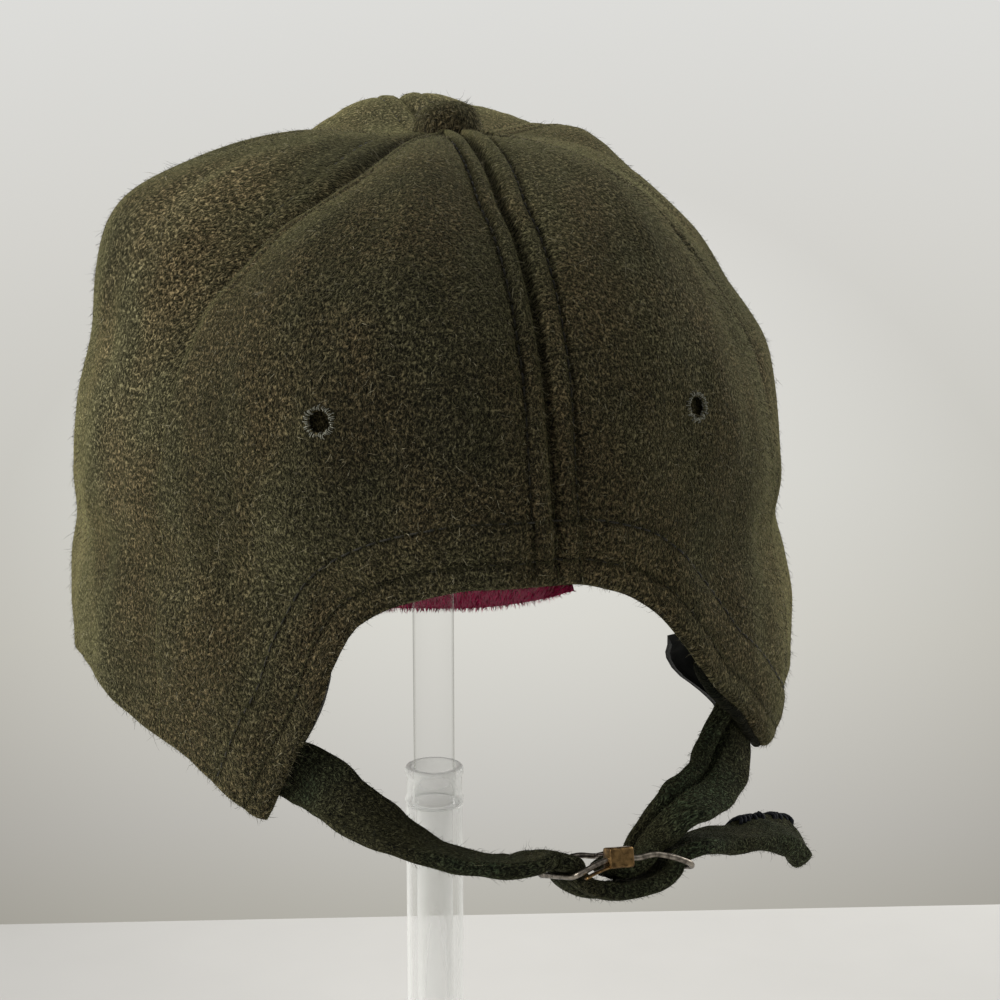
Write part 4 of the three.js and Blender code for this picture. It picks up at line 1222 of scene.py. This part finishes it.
def band_place(u, v):
    """Angle and height of the band's places, u round the head between its two ends and v up from its foot."""
    corner_foot = float(edge_height(BAND_CORNER))
    rise = 1 + v * BAND_TALL
    corner_rise = corner_foot + rise
    left = -opening_angle("left", corner_rise) - 1.5
    right = opening_angle("right", corner_rise) + 1.5 - 1.8 * smooth(22, 30, corner_rise)
    angle = left - u * (360 - (right - left))
    foot = np.where(np.abs(signed(angle)) > BAND_CORNER, edge_height(angle), corner_foot)
    return angle, foot + rise


def make_band():
    """The black band inside the lower edge, held off the wall where the straps are sewn behind it."""
    v, u = np.meshgrid(np.linspace(0, 1, 14), np.linspace(0, 1, 150), indexing="ij")
    angle, height = band_place(u, v)
    strap_room = 5.6 * (1 - smooth(49, 60, np.abs(signed(angle)))) * (1 - smooth(32, 40, height))
    half = BAND_THICK / 2 * rounding(np.minimum(v, 1 - v) * BAND_TALL, 0.7, 0.01)
    wave = 0.15 * np.sin(8 * np.radians(angle) + 0.3 * height)
    middle = WALL + GAP + 0.15 + strap_room + BAND_THICK / 2 + wave
    outer = beside_wall(angle, height, half - middle)
    inner = beside_wall(angle, height, -half - middle)
    points = np.concatenate([outer.reshape(-1, 3), inner.reshape(-1, 3)])
    build("black_sweatband", points, shell_faces(*u.shape), sweatband_black, "sweatband", ("sweatband",))


make_band()


# Peak and its plush underside

PEAK_GRID = (44, 90)
PEAK_MAP = (130, 62)


def peak_grid(rows, columns, drop):
    """The peak's upper face lowered by a drop, and its places u across and v from root to edge."""
    v, u = np.meshgrid(np.linspace(0, 1, rows), np.linspace(0, 1, columns), indexing="ij")
    across = 2 * u - 1
    root_angle = 180 - across * PEAK_ROOT_ANGLE
    root = ellipse(root_angle, 1, 0 * u, 0.8 - (WALL + 0.8) * (1 - smooth(0, 0.08, v)))
    turn = np.radians(90 * across)
    edge_x = CROWN_SHIFT + PEAK_HALF_WIDTH * np.sign(turn) * np.abs(np.sin(turn)) ** (2 / 2.4)
    edge_y = PEAK_BACK + (PEAK_FRONT - PEAK_BACK) * np.cos(turn) ** (2 / 2.9)
    x = root[..., 0] * (1 - v) + edge_x * v
    y = root[..., 1] * (1 - v) + edge_y * v
    reach = np.maximum(0, y - root[..., 1])
    side = (x - CROWN_SHIFT) / PEAK_HALF_WIDTH
    top = edge_height(root_angle) - GAP - 0.2
    z = top - PEAK_DROP * reach / (PEAK_FRONT - HALF_LENGTH) - PEAK_CAMBER * side**2 * v - drop
    z = z - PEAK_SAG * smooth(0.3, 0.95, side) * v**2
    return np.stack([x, y, z], -1), u, v


def make_peak_sheet(name, top, thick, paint, slot, node_name):
    """A sheet of the peak whose upper face lies a drop under the peak's, with rounded edges."""
    grid, u, v = peak_grid(*PEAK_GRID, top)
    wide, deep = PEAK_MAP
    inside = np.minimum(np.minimum(u, 1 - u) * 150, (1 - v) * deep)
    edge = rounding(inside, thick / 2, 0.02)
    down = np.array((0, 0, 1.0))
    upper = grid - down * (thick / 2 * (1 - edge))[..., None]
    lower = grid - down * (thick / 2 * (1 + edge))[..., None]
    uv = np.stack([u * wide, v * deep], -1).reshape(-1, 2) * MAP_SCALE
    points = np.concatenate([upper.reshape(-1, 3), lower.reshape(-1, 3)])
    maps = {"cloth": np.concatenate([uv, uv])}
    build(name, points, shell_faces(*PEAK_GRID), paint, slot, (node_name,), uvs=maps)
    return upper, lower


def make_pile(lower):
    """The plush's pile, longest at the peak's front and thickest along its edges."""
    count = PLUSH_HAIRS
    normals = surface_normals(lower, lower + (0, 0, 1))
    _, u, v = peak_grid(*PEAK_GRID, 0)
    weight = 1 + 5 * (1 - smooth(0, 0.08, np.minimum(1 - v, np.minimum(u, 1 - u))))
    place, normal, down, across = scatter(lower, normals, count, weight)
    ways = normal + down * rng.normal(0.1, 0.25, (count, 1)) + across * rng.normal(0, 0.25, (count, 1))
    curls = down * rng.normal(0, 0.3, (count, 1)) + across * rng.normal(0, 0.3, (count, 1))
    front = smooth(PEAK_FRONT - 14, PEAK_FRONT - 3, place[:, 1])
    lengths = rng.uniform(1.2, 2.4, count) * (1 + 0.15 * front)
    radii = rng.uniform(0.08, 0.14, count)
    tones = rng.random(count)
    hairs("plush_pile", place - normal * 0.1, ways, curls, lengths, radii, tones, plush_hair, "plush")


def make_peak():
    upper, _ = make_peak_sheet("wool_peak", 0, PEAK_THICK, trim_wool, "wool", "peak")
    nap("nap_peak", upper, surface_normals(upper, upper - (0, 0, 1)), PEAK_HAIRS, nap_hair, "wool")
    top = PEAK_THICK + GAP
    _, lower = make_peak_sheet("plush_lining", top, LINING_THICK, crimson_plush, "plush", "peak_lining")
    make_pile(lower)


make_peak()


# Buckle and straps

BUCKLE_CENTRE = np.array((17.3, -91.4, -11.4))
BUCKLE_ALONG = unit(np.array((29.3, 5, -2.7)))
BUCKLE_ACROSS = np.array((0, 0.95, -0.32))
BUCKLE_ACROSS = unit(BUCKLE_ACROSS - BUCKLE_ALONG * (BUCKLE_ACROSS @ BUCKLE_ALONG))
BUCKLE_NORMAL = unit(np.cross(BUCKLE_ALONG, BUCKLE_ACROSS))
ROOT_INSET = -(WALL + GAP + 0.4 + STRAP_THICK / 2)
STRAP_LEFT = [
    {"name": "sewn_end", "angle": -45.5, "out": ROOT_INSET, "height": 14, "lean": 0, "wide": 12.5},
    {"name": "behind_hem", "angle": -40, "out": ROOT_INSET, "height": 13.4, "lean": 0, "wide": 13.5},
    {"name": "at_hem", "angle": -35, "out": ROOT_INSET - 0.3, "height": 12.2, "lean": 4, "wide": 13},
    {"name": "clear_of_hem", "angle": -30.2, "out": -4, "height": 10.2, "lean": 20, "wide": 12.5},
    {"name": "falling", "angle": -25.5, "out": -1, "height": 7, "lean": 50, "wide": 12.5},
    {"name": "turning", "angle": -19.5, "out": 0, "height": 2.4, "lean": 78, "wide": 12.5},
    {"name": "flat", "angle": -13.5, "out": 0, "height": -2.2, "lean": 96, "wide": 13},
    {"name": "bottom", "angle": -7, "out": 0, "height": -4.8, "lean": 101, "wide": 13},
    {"name": "before_buckle", "angle": -2.6, "out": -0.8, "height": -5.6, "lean": 103, "wide": 13.5},
]
# How much thicker the tail's rolled end is than the strap
TAIL_ROLL = 0.55
STRAP_RIGHT = [
    {"name": "sewn_end", "angle": 45.5, "out": ROOT_INSET - 0.6, "height": 23.5, "lean": 0, "wide": 13.5},
    {"name": "behind_hem", "angle": 42.8, "out": ROOT_INSET - 0.8, "height": 18, "lean": 0, "wide": 14},
    {"name": "at_hem", "angle": 40, "out": ROOT_INSET - 0.9, "height": 12, "lean": 6, "wide": 14.5},
    {"name": "clear_of_hem", "angle": 36.6, "out": -4.2, "height": 6, "lean": 34, "wide": 14.5},
    {"name": "falling", "angle": 30.8, "out": -2, "height": 2.4, "lean": 56, "wide": 13.6},
    {"name": "turning", "angle": 23.4, "out": -1.2, "height": 0.6, "lean": 76, "wide": 12.4},
]
TAIL = [
    {"name": "past_buckle", "angle": 32, "out": -1.2, "height": -11.2, "lean": 92, "wide": 13.5},
    {"name": "rising", "angle": 38, "out": 1.6, "height": -12.4, "lean": 90, "wide": 13},
    {"name": "tail", "angle": 44.4, "out": 5, "height": -15, "lean": 72, "wide": 13},
    {"name": "tail_end", "angle": 50.4, "out": 8, "height": -20.4, "lean": 34, "wide": 13.5},
]
JOIN = [
    {"a": 9, "c": 6.6, "twist": 0.3, "wide": 11},
    {"a": 5.4, "c": 2.4, "twist": 0.15, "wide": 10.2},
]
OVER_BAR = WIRE_RADIUS + STRAP_THICK / 2 + 0.4
END_BAR = BUCKLE_LONG / 2
NEAR_HALF = [
    {"a": -END_BAR - 4, "c": OVER_BAR + 1.1},
    {"a": -END_BAR, "c": OVER_BAR},
    {"a": -END_BAR + 0.72 * OVER_BAR, "c": 0.72 * OVER_BAR},
    {"a": -END_BAR + OVER_BAR + 0.2, "c": -0.4},
    {"a": -8.4, "c": -2.6},
    {"a": -4.4, "c": -3.7},
]
THREADED = [*NEAR_HALF, {"a": 0, "c": -4}, *[{"a": -row["a"], "c": row["c"]} for row in NEAR_HALF[::-1]]]


def on_buckle(a, b, c):
    """A place in the buckle: a along it, b across it and c out from it."""
    parts = [np.asarray(v, float)[..., None] for v in (a, b, c)]
    return BUCKLE_CENTRE + BUCKLE_ALONG * parts[0] + BUCKLE_ACROSS * parts[1] + BUCKLE_NORMAL * parts[2]


def bow(a):
    """How far the rails bow up between the end bars, with a small dip at the centre bar."""
    bulge = BUCKLE_BOW * np.clip(np.cos(np.pi * np.asarray(a, float) / BUCKLE_LONG), 0, 1) ** 0.8
    return bulge - 0.9 * np.exp(-((np.asarray(a, float) / 3.2) ** 2))


def wire_path():
    """The closed line of the frame's wire: two bowed rails, two ends and four round corners."""
    half, side, corner = BUCKLE_LONG / 2, BUCKLE_WIDE / 2, 2.4
    rail = np.linspace(-half + corner, half - corner, 40)
    bend = np.radians(np.linspace(0, 90, 8)[1:-1])
    near = np.stack([rail, np.full(40, -side)], -1)
    right = np.stack([half - corner + corner * np.sin(bend), -side + corner - corner * np.cos(bend)], -1)
    end = np.stack([np.full(12, half), np.linspace(-side + corner, side - corner, 12)], -1)
    half_way = np.concatenate([near, right, end, right[::-1] * (1, -1)])
    flat = np.concatenate([half_way, -half_way])
    return on_buckle(flat[:, 0], flat[:, 1], bow(flat[:, 0]))


def make_buckle():
    side = BUCKLE_WIDE / 2
    frame_part = tube(wire_path(), WIRE_SHOWN, 14, BUCKLE_NORMAL, ring=True)
    bar = on_buckle(np.zeros(12), np.linspace(-side, side, 12), np.full(12, bow(0)))
    bar_part = tube(bar, WIRE_SHOWN, 14, BUCKLE_NORMAL)
    build("buckle_wire", *merged([frame_part, bar_part]), nickel, "wire", ("buckle_frame",))


def sleeve_outline():
    corner, wide, tall = 0.7, 1.75, SLEEVE_TALL / 2
    outline = []
    for k, (a, b) in enumerate(((1, 1), (-1, 1), (-1, -1), (1, -1))):
        for turn in np.radians(np.linspace(90 * k, 90 * k + 90, 6)):
            side = a * (wide - corner) + corner * math.cos(turn)
            up = b * (tall - corner) + corner * math.sin(turn)
            outline.append((side, up))
    return np.array(outline)


def make_sleeve():
    """The crimped sleeve, its corners turned round the wire, with the strip that it is folded from."""
    outline = sleeve_outline()
    stations = np.array((-1, -0.97, -0.88, -0.4, 0, 0.4, 0.88, 0.97, 1)) * SLEEVE_LONG / 2
    shrink = np.array((0.9, 0.97, 1, 0.985, 0.98, 0.985, 1, 0.97, 0.9))
    centres = on_buckle(SLEEVE_AT + stations, np.full(9, -BUCKLE_WIDE / 2), np.full(9, bow(SLEEVE_AT)))
    section = BUCKLE_ACROSS * outline[None, :, :1] + BUCKLE_NORMAL * outline[None, :, 1:]
    grid = centres[:, None] + section * shrink[:, None, None]
    rows, columns = grid.shape[:2]
    points = np.concatenate([grid.reshape(-1, 3), centres[[0, -1]]])
    sleeve = (points, [grid_faces(rows, columns, ring=True), end_caps(rows, columns)])
    start = SLEEVE_AT - SLEEVE_LONG / 2
    tongue_a = np.linspace(start + 0.4, start - 5.4, 12)
    tongue_path = on_buckle(tongue_a, np.full(12, -BUCKLE_WIDE / 2 - 0.2), bow(tongue_a) - 1.5)
    flat_oval = circle(12, 1) * (0.9, 0.35)
    tongue = sweep(tongue_path, np.array([BUCKLE_ACROSS] * 12), np.array([BUCKLE_NORMAL] * 12), flat_oval)
    build("brass_sleeve", *merged([sleeve, tongue]), brass, "sleeve", ("buckle_sleeve",))


def strap_rows(before, middle, after, middle_wide):
    """The rows along a strap, each with its place, beside the wall or in the buckle."""
    rows = []
    for row in before:
        rows.append({**row, "at": beside_wall(row["angle"], row["height"], row["out"])})
    for row in middle:
        wide = row.get("wide", middle_wide)
        rows.append({"at": on_buckle(row["a"], 0, row["c"]), "turned": 1 - row.get("twist", 0), "wide": wide})
    for row in after:
        rows.append({**row, "at": beside_wall(row["angle"], row["height"], row["out"])})
    return rows


def leaning(row, run):
    """The way across a strap: upright beside the wall, tipped inward by its lean."""
    inward = np.array((-(row["at"][0] - CROWN_SHIFT) / HALF_WIDTH, -row["at"][1] / HALF_LENGTH, 0))
    inward = unit(inward - run * (inward @ run))
    upright = np.cross(inward, run)
    upright = -upright if upright[2] < 0 else upright
    lean = math.radians(row["lean"])
    return unit(unit(upright) * math.cos(lean) + inward * math.sin(lean))


def strap_stations(before, middle, after, steps, middle_wide):
    """Centre line, directions and width along a strap, beside the wall and through the buckle."""
    rows = strap_rows(before, middle, after, middle_wide)
    centres = np.array([row["at"] for row in rows])
    across = []
    for k, row in enumerate(rows):
        if "turned" in row:
            across.append(unit(across[len(before) - 1] * (1 - row["turned"]) + BUCKLE_ACROSS * row["turned"]))
        else:
            run = unit(centres[min(k + 1, len(rows) - 1)] - centres[max(k - 1, 0)])
            across.append(leaning(row, run))
    line = spline(centres, steps)
    place = np.linspace(0, len(rows) - 1, len(line))
    directions = between_rows(place, np.arange(len(rows)), np.array(across))
    run = unit(np.gradient(line, axis=0))
    directions = unit(directions - run * (directions * run).sum(-1, keepdims=True))
    widths = np.interp(place, np.arange(len(rows)), [row["wide"] for row in rows])
    return line, directions, np.cross(run, directions), widths


def strap_outline(slit, deep):
    """Section of a folded strap with a slit on one face, as shares of its width and millimetres."""
    h = STRAP_THICK / 2
    points = [(a, h * (1 + 0.05 * math.cos(a * 7))) for a in np.linspace(-0.42, 0.42, 13)]
    for turn in np.radians((65, 35, 0, -35, -65)):
        points.append((0.42 + 0.08 * math.cos(turn), h * math.sin(turn)))
    for a in np.linspace(0.42, slit + 0.07, 8):
        share = (a - slit) / (0.5 - slit)
        points.append((a, -h * (0.88 + 0.26 * math.sin(math.pi * np.clip(share, 0, 1)))))
    points += [(slit + 0.035, -h * (1 - deep * 0.55)), (slit + 0.008, h * (deep - 1))]
    points += [(slit - 0.008, h * (deep - 1)), (slit - 0.035, -h * (1 - deep * 0.55))]
    for a in np.linspace(slit - 0.07, -0.42, 10):
        share = (slit - a) / (slit + 0.5)
        points.append((a, -h * (0.88 + 0.26 * math.sin(math.pi * np.clip(share, 0, 1)))))
    for turn in np.radians((-65, -35, 0, 35, 65)):
        points.append((-0.42 - 0.08 * math.cos(turn), h * math.sin(turn)))
    return np.array(points)[::-1]


def strap_grid(stations, outline, rolled):
    """Rings of points along a strap, swollen to a roll near its end by a share and uneven as cloth is."""
    line, across, normal, widths = stations
    length = path_length(line)
    ending = rounding(length[-1] - length, 5, 0.02) if rolled else np.ones(len(length))
    roll = (1 + rolled * smooth(length[-1] - 26, length[-1] - 10, length)) * ending
    uneven = 1 + 0.035 * np.sin(length * 0.33 + 1) + 0.02 * np.sin(length * 0.81)
    a = outline[None, :, 0] * (widths * uneven * (0.25 + 0.75 * ending))[:, None]
    b = outline[None, :, 1] * (roll * (1 + 0.06 * np.sin(length * 0.47 + 2)))[:, None]
    b = b + 0.12 * np.sin(length[:, None] * 0.6 + outline[None, :, 0] * 9)
    return line[:, None] + across[:, None] * a[..., None] + normal[:, None] * b[..., None]


def strap_mesh(node_name, stations, outline, rolled=0.0):
    """A strap's cloth and its nap."""
    name = node_name + "_cloth"
    line = stations[0]
    grid = strap_grid(stations, outline, rolled)
    rows, columns = grid.shape[:2]
    ends = np.stack([grid[0].mean(0), grid[-1].mean(0)])
    points = np.concatenate([grid.reshape(-1, 3), ends])
    faces = [grid_faces(rows, columns, ring=True), end_caps(rows, columns)]
    uv = np.stack([np.tile(path_length(outline * (14, 1)), rows), np.repeat(path_length(line), columns)], -1)
    uv = np.concatenate([uv, uv[:1], uv[-1:]]) * MAP_SCALE
    build(name, points, faces, strap_wool, "strap_wool", (node_name,), uvs={"cloth": uv})
    closed = np.concatenate([grid, grid[:, :1]], 1)
    normals = surface_normals(closed, line[:, None])
    nap(name + "_nap", closed, normals, STRAP_HAIRS[node_name], strap_hair, "strap_wool", lean=STIFF_LEAN)


def make_straps():
    left = strap_stations(STRAP_LEFT, THREADED, TAIL, 8, 13.5)
    strap_mesh("strap_left", left, strap_outline(-0.05, 0.9), TAIL_ROLL)
    ring = WIRE_RADIUS + GAP + 0.05 + STRAP_THICK / 2
    under = float(bow(0)) - ring
    join = [*JOIN, {"a": 2.4, "c": under + 0.5, "wide": 10}]
    for turn in np.radians((0, 40, 80)):
        join.append({"a": -ring * math.sin(turn), "c": under + ring - ring * math.cos(turn), "wide": 9})
    right = strap_stations(STRAP_RIGHT, join, [], 10, 11.6)
    strap_mesh("strap_right", right, strap_outline(0.16, 1.15))
    overcast(left)


def whip_stitch(line, across, normal, widths, k):
    """One thick thread round the raw edge of the tail."""
    h = STRAP_THICK / 2 * (1 + TAIL_ROLL)
    run = unit(line[k] - line[k - 2])
    slant = run * rng.uniform(0.4, 1.8)
    reach = rng.uniform(0.22, 0.34)
    rows = [(reach, h * 0.7), (reach + 0.06, h + 0.25), (0.47, h * 0.9)]
    rows += [(0.55, 0), (0.47, -h * 0.9), (reach, -h - 0.2)]
    path = spline([line[k] + across[k] * widths[k] * a + normal[k] * b + slant * (b / h) for a, b in rows], 3)
    return tube(path, rng.uniform(0.35, 0.62), 7, run)


def loose_loop(line, across, normal, widths, k):
    """One curl of thread standing off the tail's upper edge."""
    run = unit(line[k] - line[k - 2])
    high = line[k] + across[k] * widths[k] * rng.uniform(0.4, 0.52) + run * rng.uniform(-1.6, 1.6)
    turns = rng.uniform(0, math.pi) + np.array((-1.4, -0.7, 0, 0.7, 1.4))
    size = rng.uniform(0.9, 2.0)
    loop = []
    for turn in turns:
        reach = run * size * math.sin(turn) + across[k] * size * math.cos(turn)
        loop.append(high + reach + normal[k] * rng.uniform(-1, 1))
    return tube(spline(loop, 3), rng.uniform(0.2, 0.5), 5, normal[k])


def overcast(stations):
    """Thick dark threads sewn over the raw end of the tail, and loose tufts along its upper edge."""
    last = len(stations[0]) - 1
    parts = [whip_stitch(*stations, int(share * last)) for share in np.linspace(0.925, 0.988, 12)]
    for share in (0.93, 0.955, 0.975, 0.99):
        parts += [loose_loop(*stations, int(share * last)) for _ in range(9)]
    build("tail_end_threads", *merged(parts), navy_thread, "strap_wool")


make_buckle()
make_sleeve()
make_straps()


# Stand of clear acrylic

TURNED_SIDES = 96


def lathe(name, profile, node_name, acrylic, closed=True):
    """A turned piece from (radius, height) rows, closed on the axis or on itself."""
    profile = np.array(profile, float)
    rows, columns = len(profile), TURNED_SIDES
    turn = np.linspace(0, 2 * math.pi, columns, endpoint=False)
    radius, height = profile[:, :1], profile[:, 1:] - CAP_LIFT
    grid = np.stack([radius * np.cos(turn), radius * np.sin(turn), height + 0 * turn], -1)
    points = grid.reshape(-1, 3)
    if closed:
        faces = [grid_faces(rows + 1, columns, ring=True) % (rows * columns)]
    else:
        points = np.concatenate([points, [(0, 0, height[0, 0]), (0, 0, height[-1, 0])]])
        faces = [grid_faces(rows, columns, ring=True), end_caps(rows, columns)]
    build(name, points, faces, acrylic, "acrylic", (node_name,))


def rounded(radius, low, high, corner):
    """Outer side of a turned piece with round corners, from its foot to its top."""
    bend = np.radians(np.linspace(0, 90, 5))
    lower = [(radius - corner + corner * math.sin(t), low + corner - corner * math.cos(t)) for t in bend]
    upper = [(radius - corner + corner * math.cos(t), high - corner + corner * math.sin(t)) for t in bend]
    return lower + upper


def turned_size(node_name):
    """Radius, foot and top of a turned solid."""
    low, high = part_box(node_name)
    return high.x / MM, low.z / MM, high.z / MM


def make_stand():
    radius, low, high = turned_size("stand_tube")
    profile = [(TUBE_BORE, low), *rounded(radius, low, high, 0.3), (TUBE_BORE, high)]
    lathe("acrylic_tube", profile, "stand_tube", tube_acrylic)
    radius, low, high = turned_size("stand_collar")
    profile = [(COLLAR_BORE, low), (radius - 0.2, low), (radius, low + 0.3)]
    profile += [(radius, low + 1.3), (radius - 0.4, low + 1.9), (radius - 0.4, high - 2.3)]
    profile += [(radius, high - 1.7), (radius, high - 0.5), (radius - 0.4, high), (COLLAR_BORE, high)]
    lathe("acrylic_collar", profile, "stand_collar", tube_acrylic)
    lathe("acrylic_rod", rounded(*turned_size("stand_rod"), 0.4), "stand_rod", rod_acrylic, closed=False)
    lathe("acrylic_rest", rounded(*turned_size("stand_rest"), 1.2), "stand_rest", rod_acrylic, closed=False)
    make_base()


def make_base():
    """The square foot, with round corners and bevelled edges."""
    half, _, tall = turned_size("stand_base")
    corner, edge = 8, 0.8
    outline = []
    for k in range(4):
        to_corner = math.radians(90 * k + 45)
        centre = np.array((math.cos(to_corner), math.sin(to_corner))) * math.sqrt(2) * (half - corner)
        for turn in np.radians(np.linspace(90 * k, 90 * k + 90, 9)):
            outline.append((centre, np.array((math.cos(turn), math.sin(turn)))))
    rings = [(edge, 0), (0.2, 0.25), (0, edge), (0, tall - edge), (0.2, tall - 0.25), (edge, tall)]
    grid = []
    for inset, z in rings:
        grid.append([(*(centre + way * (corner - inset)), z - CAP_LIFT) for centre, way in outline])
    grid = np.array(grid)
    rows, columns = grid.shape[:2]
    points = np.concatenate([grid.reshape(-1, 3), [(0, 0, -CAP_LIFT), (0, 0, tall - CAP_LIFT)]])
    faces = [grid_faces(rows, columns, ring=True), end_caps(rows, columns)]
    build("acrylic_base", points, faces, tube_acrylic, "acrylic", ("stand_base",), smooth_faces=False)


make_stand()


# Table, light and camera

# Depth of the table's far edge straight behind the stand, and how much deeper it is per metre to the right
FLOOR_BACK = 0.3107
FLOOR_SKEW = 0.05
FLOOR_HALF = 1.6
FLOOR_THICK = 0.02
CAMERA_PLACE = (-0.113362, -0.454670, 0.333262)
VIEW_WAY = Vector((0.271957, 0.943770, -0.187981))
VIEW_LEVEL = (0.277, 0.961, 0)
VIEW_RIGHT = (0.961, -0.277, 0)
LENS = 68.4
SENSOR = 36

# Brightness of the room from low to high, around its brightest place, and behind the camera
WALL_STOPS = [
    (0.0, (0.3, 0.285, 0.25)),
    (0.1, (0.36, 0.345, 0.3)),
    (0.155, (0.42, 0.405, 0.37)),
    (0.25, (0.53, 0.515, 0.465)),
    (0.33, (0.6, 0.59, 0.545)),
    (0.45, (0.68, 0.67, 0.635)),
    (0.6, (0.76, 0.76, 0.74)),
    (1.0, (0.95, 0.95, 0.93)),
]
GLOW_WAY = (0.2695, 0.9175, -0.2925)
GLOW_STOPS = [(0.2, (0.97, 0.97, 0.97)), (0.75, (1.18, 1.19, 1.21)), (1.0, (1.32, 1.34, 1.38))]
CAMERA_SIDE = 0.3


def table_paint():
    made, paint = new_material("pale_table")
    spot = paint.place()
    tones = [(0.3, (0.63, 0.62, 0.6)), (0.7, (0.68, 0.67, 0.65))]
    cloudy = paint.ramp(paint.noise(spot, 6.0, 4.0, 0.6), tones)
    # Painted shade: the top is made darker toward the camera's left
    sideways = paint.maths("MULTIPLY_ADD", paint.dot(spot, VIEW_RIGHT), 2.5, 0.5)
    shade = paint.ramp(sideways, [(0.0, 0.78), (0.5, 1.0)])
    paint.surface({"Base Color": paint.mix("MULTIPLY", 1.0, cloudy, shade), "Roughness": 0.8})
    return made


def make_floor():
    """A pale table top whose far edge lies behind the stand."""
    flat = Vector((VIEW_WAY.x, VIEW_WAY.y, 0)).normalized()
    side = Vector((flat.y, -flat.x, 0))
    skew = FLOOR_HALF * FLOOR_SKEW
    depths = (-FLOOR_HALF, -FLOOR_HALF, FLOOR_BACK + skew, FLOOR_BACK - skew)
    corners = [side * way * FLOOR_HALF + flat * depth for way, depth in zip((-1, 1, 1, -1), depths)]
    top = [(corner.x, corner.y, 0) for corner in corners]
    under = [(corner.x, corner.y, -FLOOR_THICK) for corner in corners]
    faces = [(0, 1, 2, 3), (7, 6, 5, 4)] + [(k, k + 4, (k + 1) % 4 + 4, (k + 1) % 4) for k in range(4)]
    mesh = bpy.data.meshes.new("table")
    mesh.from_pydata(top + under, [], faces)
    mesh.materials.append(table_paint())
    floor = bpy.data.objects.new("table", mesh)
    bpy.context.scene.collection.objects.link(floor)


def make_world():
    """A pale room: bright behind the cap and above it, dimmer behind the camera."""
    world = bpy.data.worlds.new("room")
    bpy.context.scene.world = world
    world.use_nodes = True
    background = world.node_tree.nodes["Background"]
    paint = Paint(world.node_tree)
    way = paint.node("ShaderNodeTexCoord").outputs["Generated"]
    wall = paint.ramp(paint.maths("ADD", paint.split(way)["Z"], 0.5), WALL_STOPS)
    glow = paint.ramp(paint.maths("MULTIPLY_ADD", paint.dot(way, GLOW_WAY), 20.0, -19.0), GLOW_STOPS)
    wall = paint.mix("MULTIPLY", 1.0, wall, glow)
    front = paint.maths("MULTIPLY_ADD", paint.dot(way, VIEW_LEVEL), 0.5, 0.5)
    dim = paint.ramp(front, [(0.0, CAMERA_SIDE), (0.3, CAMERA_SIDE), (0.6, 1.0)])
    paint.join(paint.mix("MULTIPLY", 1.0, wall, dim), background.inputs["Color"])
    background.inputs["Strength"].default_value = 1.0


def make_light(name, location, target, size, power, colour):
    data = bpy.data.lights.new(name, "AREA")
    data.shape = "DISK"
    data.size = size
    data.energy = power
    data.color = colour
    light = bpy.data.objects.new(name, data)
    light.location = location
    light.rotation_euler = (Vector(target) - Vector(location)).to_track_quat("-Z", "Y").to_euler()
    bpy.context.scene.collection.objects.link(light)


def make_camera():
    data = bpy.data.cameras.new("camera")
    data.lens = LENS
    data.sensor_width = SENSOR
    camera = bpy.data.objects.new("camera", data)
    camera.location = CAMERA_PLACE
    camera.rotation_euler = VIEW_WAY.to_track_quat("-Z", "Y").to_euler()
    bpy.context.scene.collection.objects.link(camera)
    bpy.context.scene.camera = camera


make_camera()
make_floor()
make_world()
make_light("window_left", (-1.3, -0.1, 0.75), (0, 0, 0.25), 0.9, 16, (1, 0.985, 0.95))
make_light("window_right", (1.3, 0.5, 0.8), (0, 0, 0.25), 0.9, 9, (1, 0.985, 0.95))
bpy.context.scene.view_settings.view_transform = "Standard"
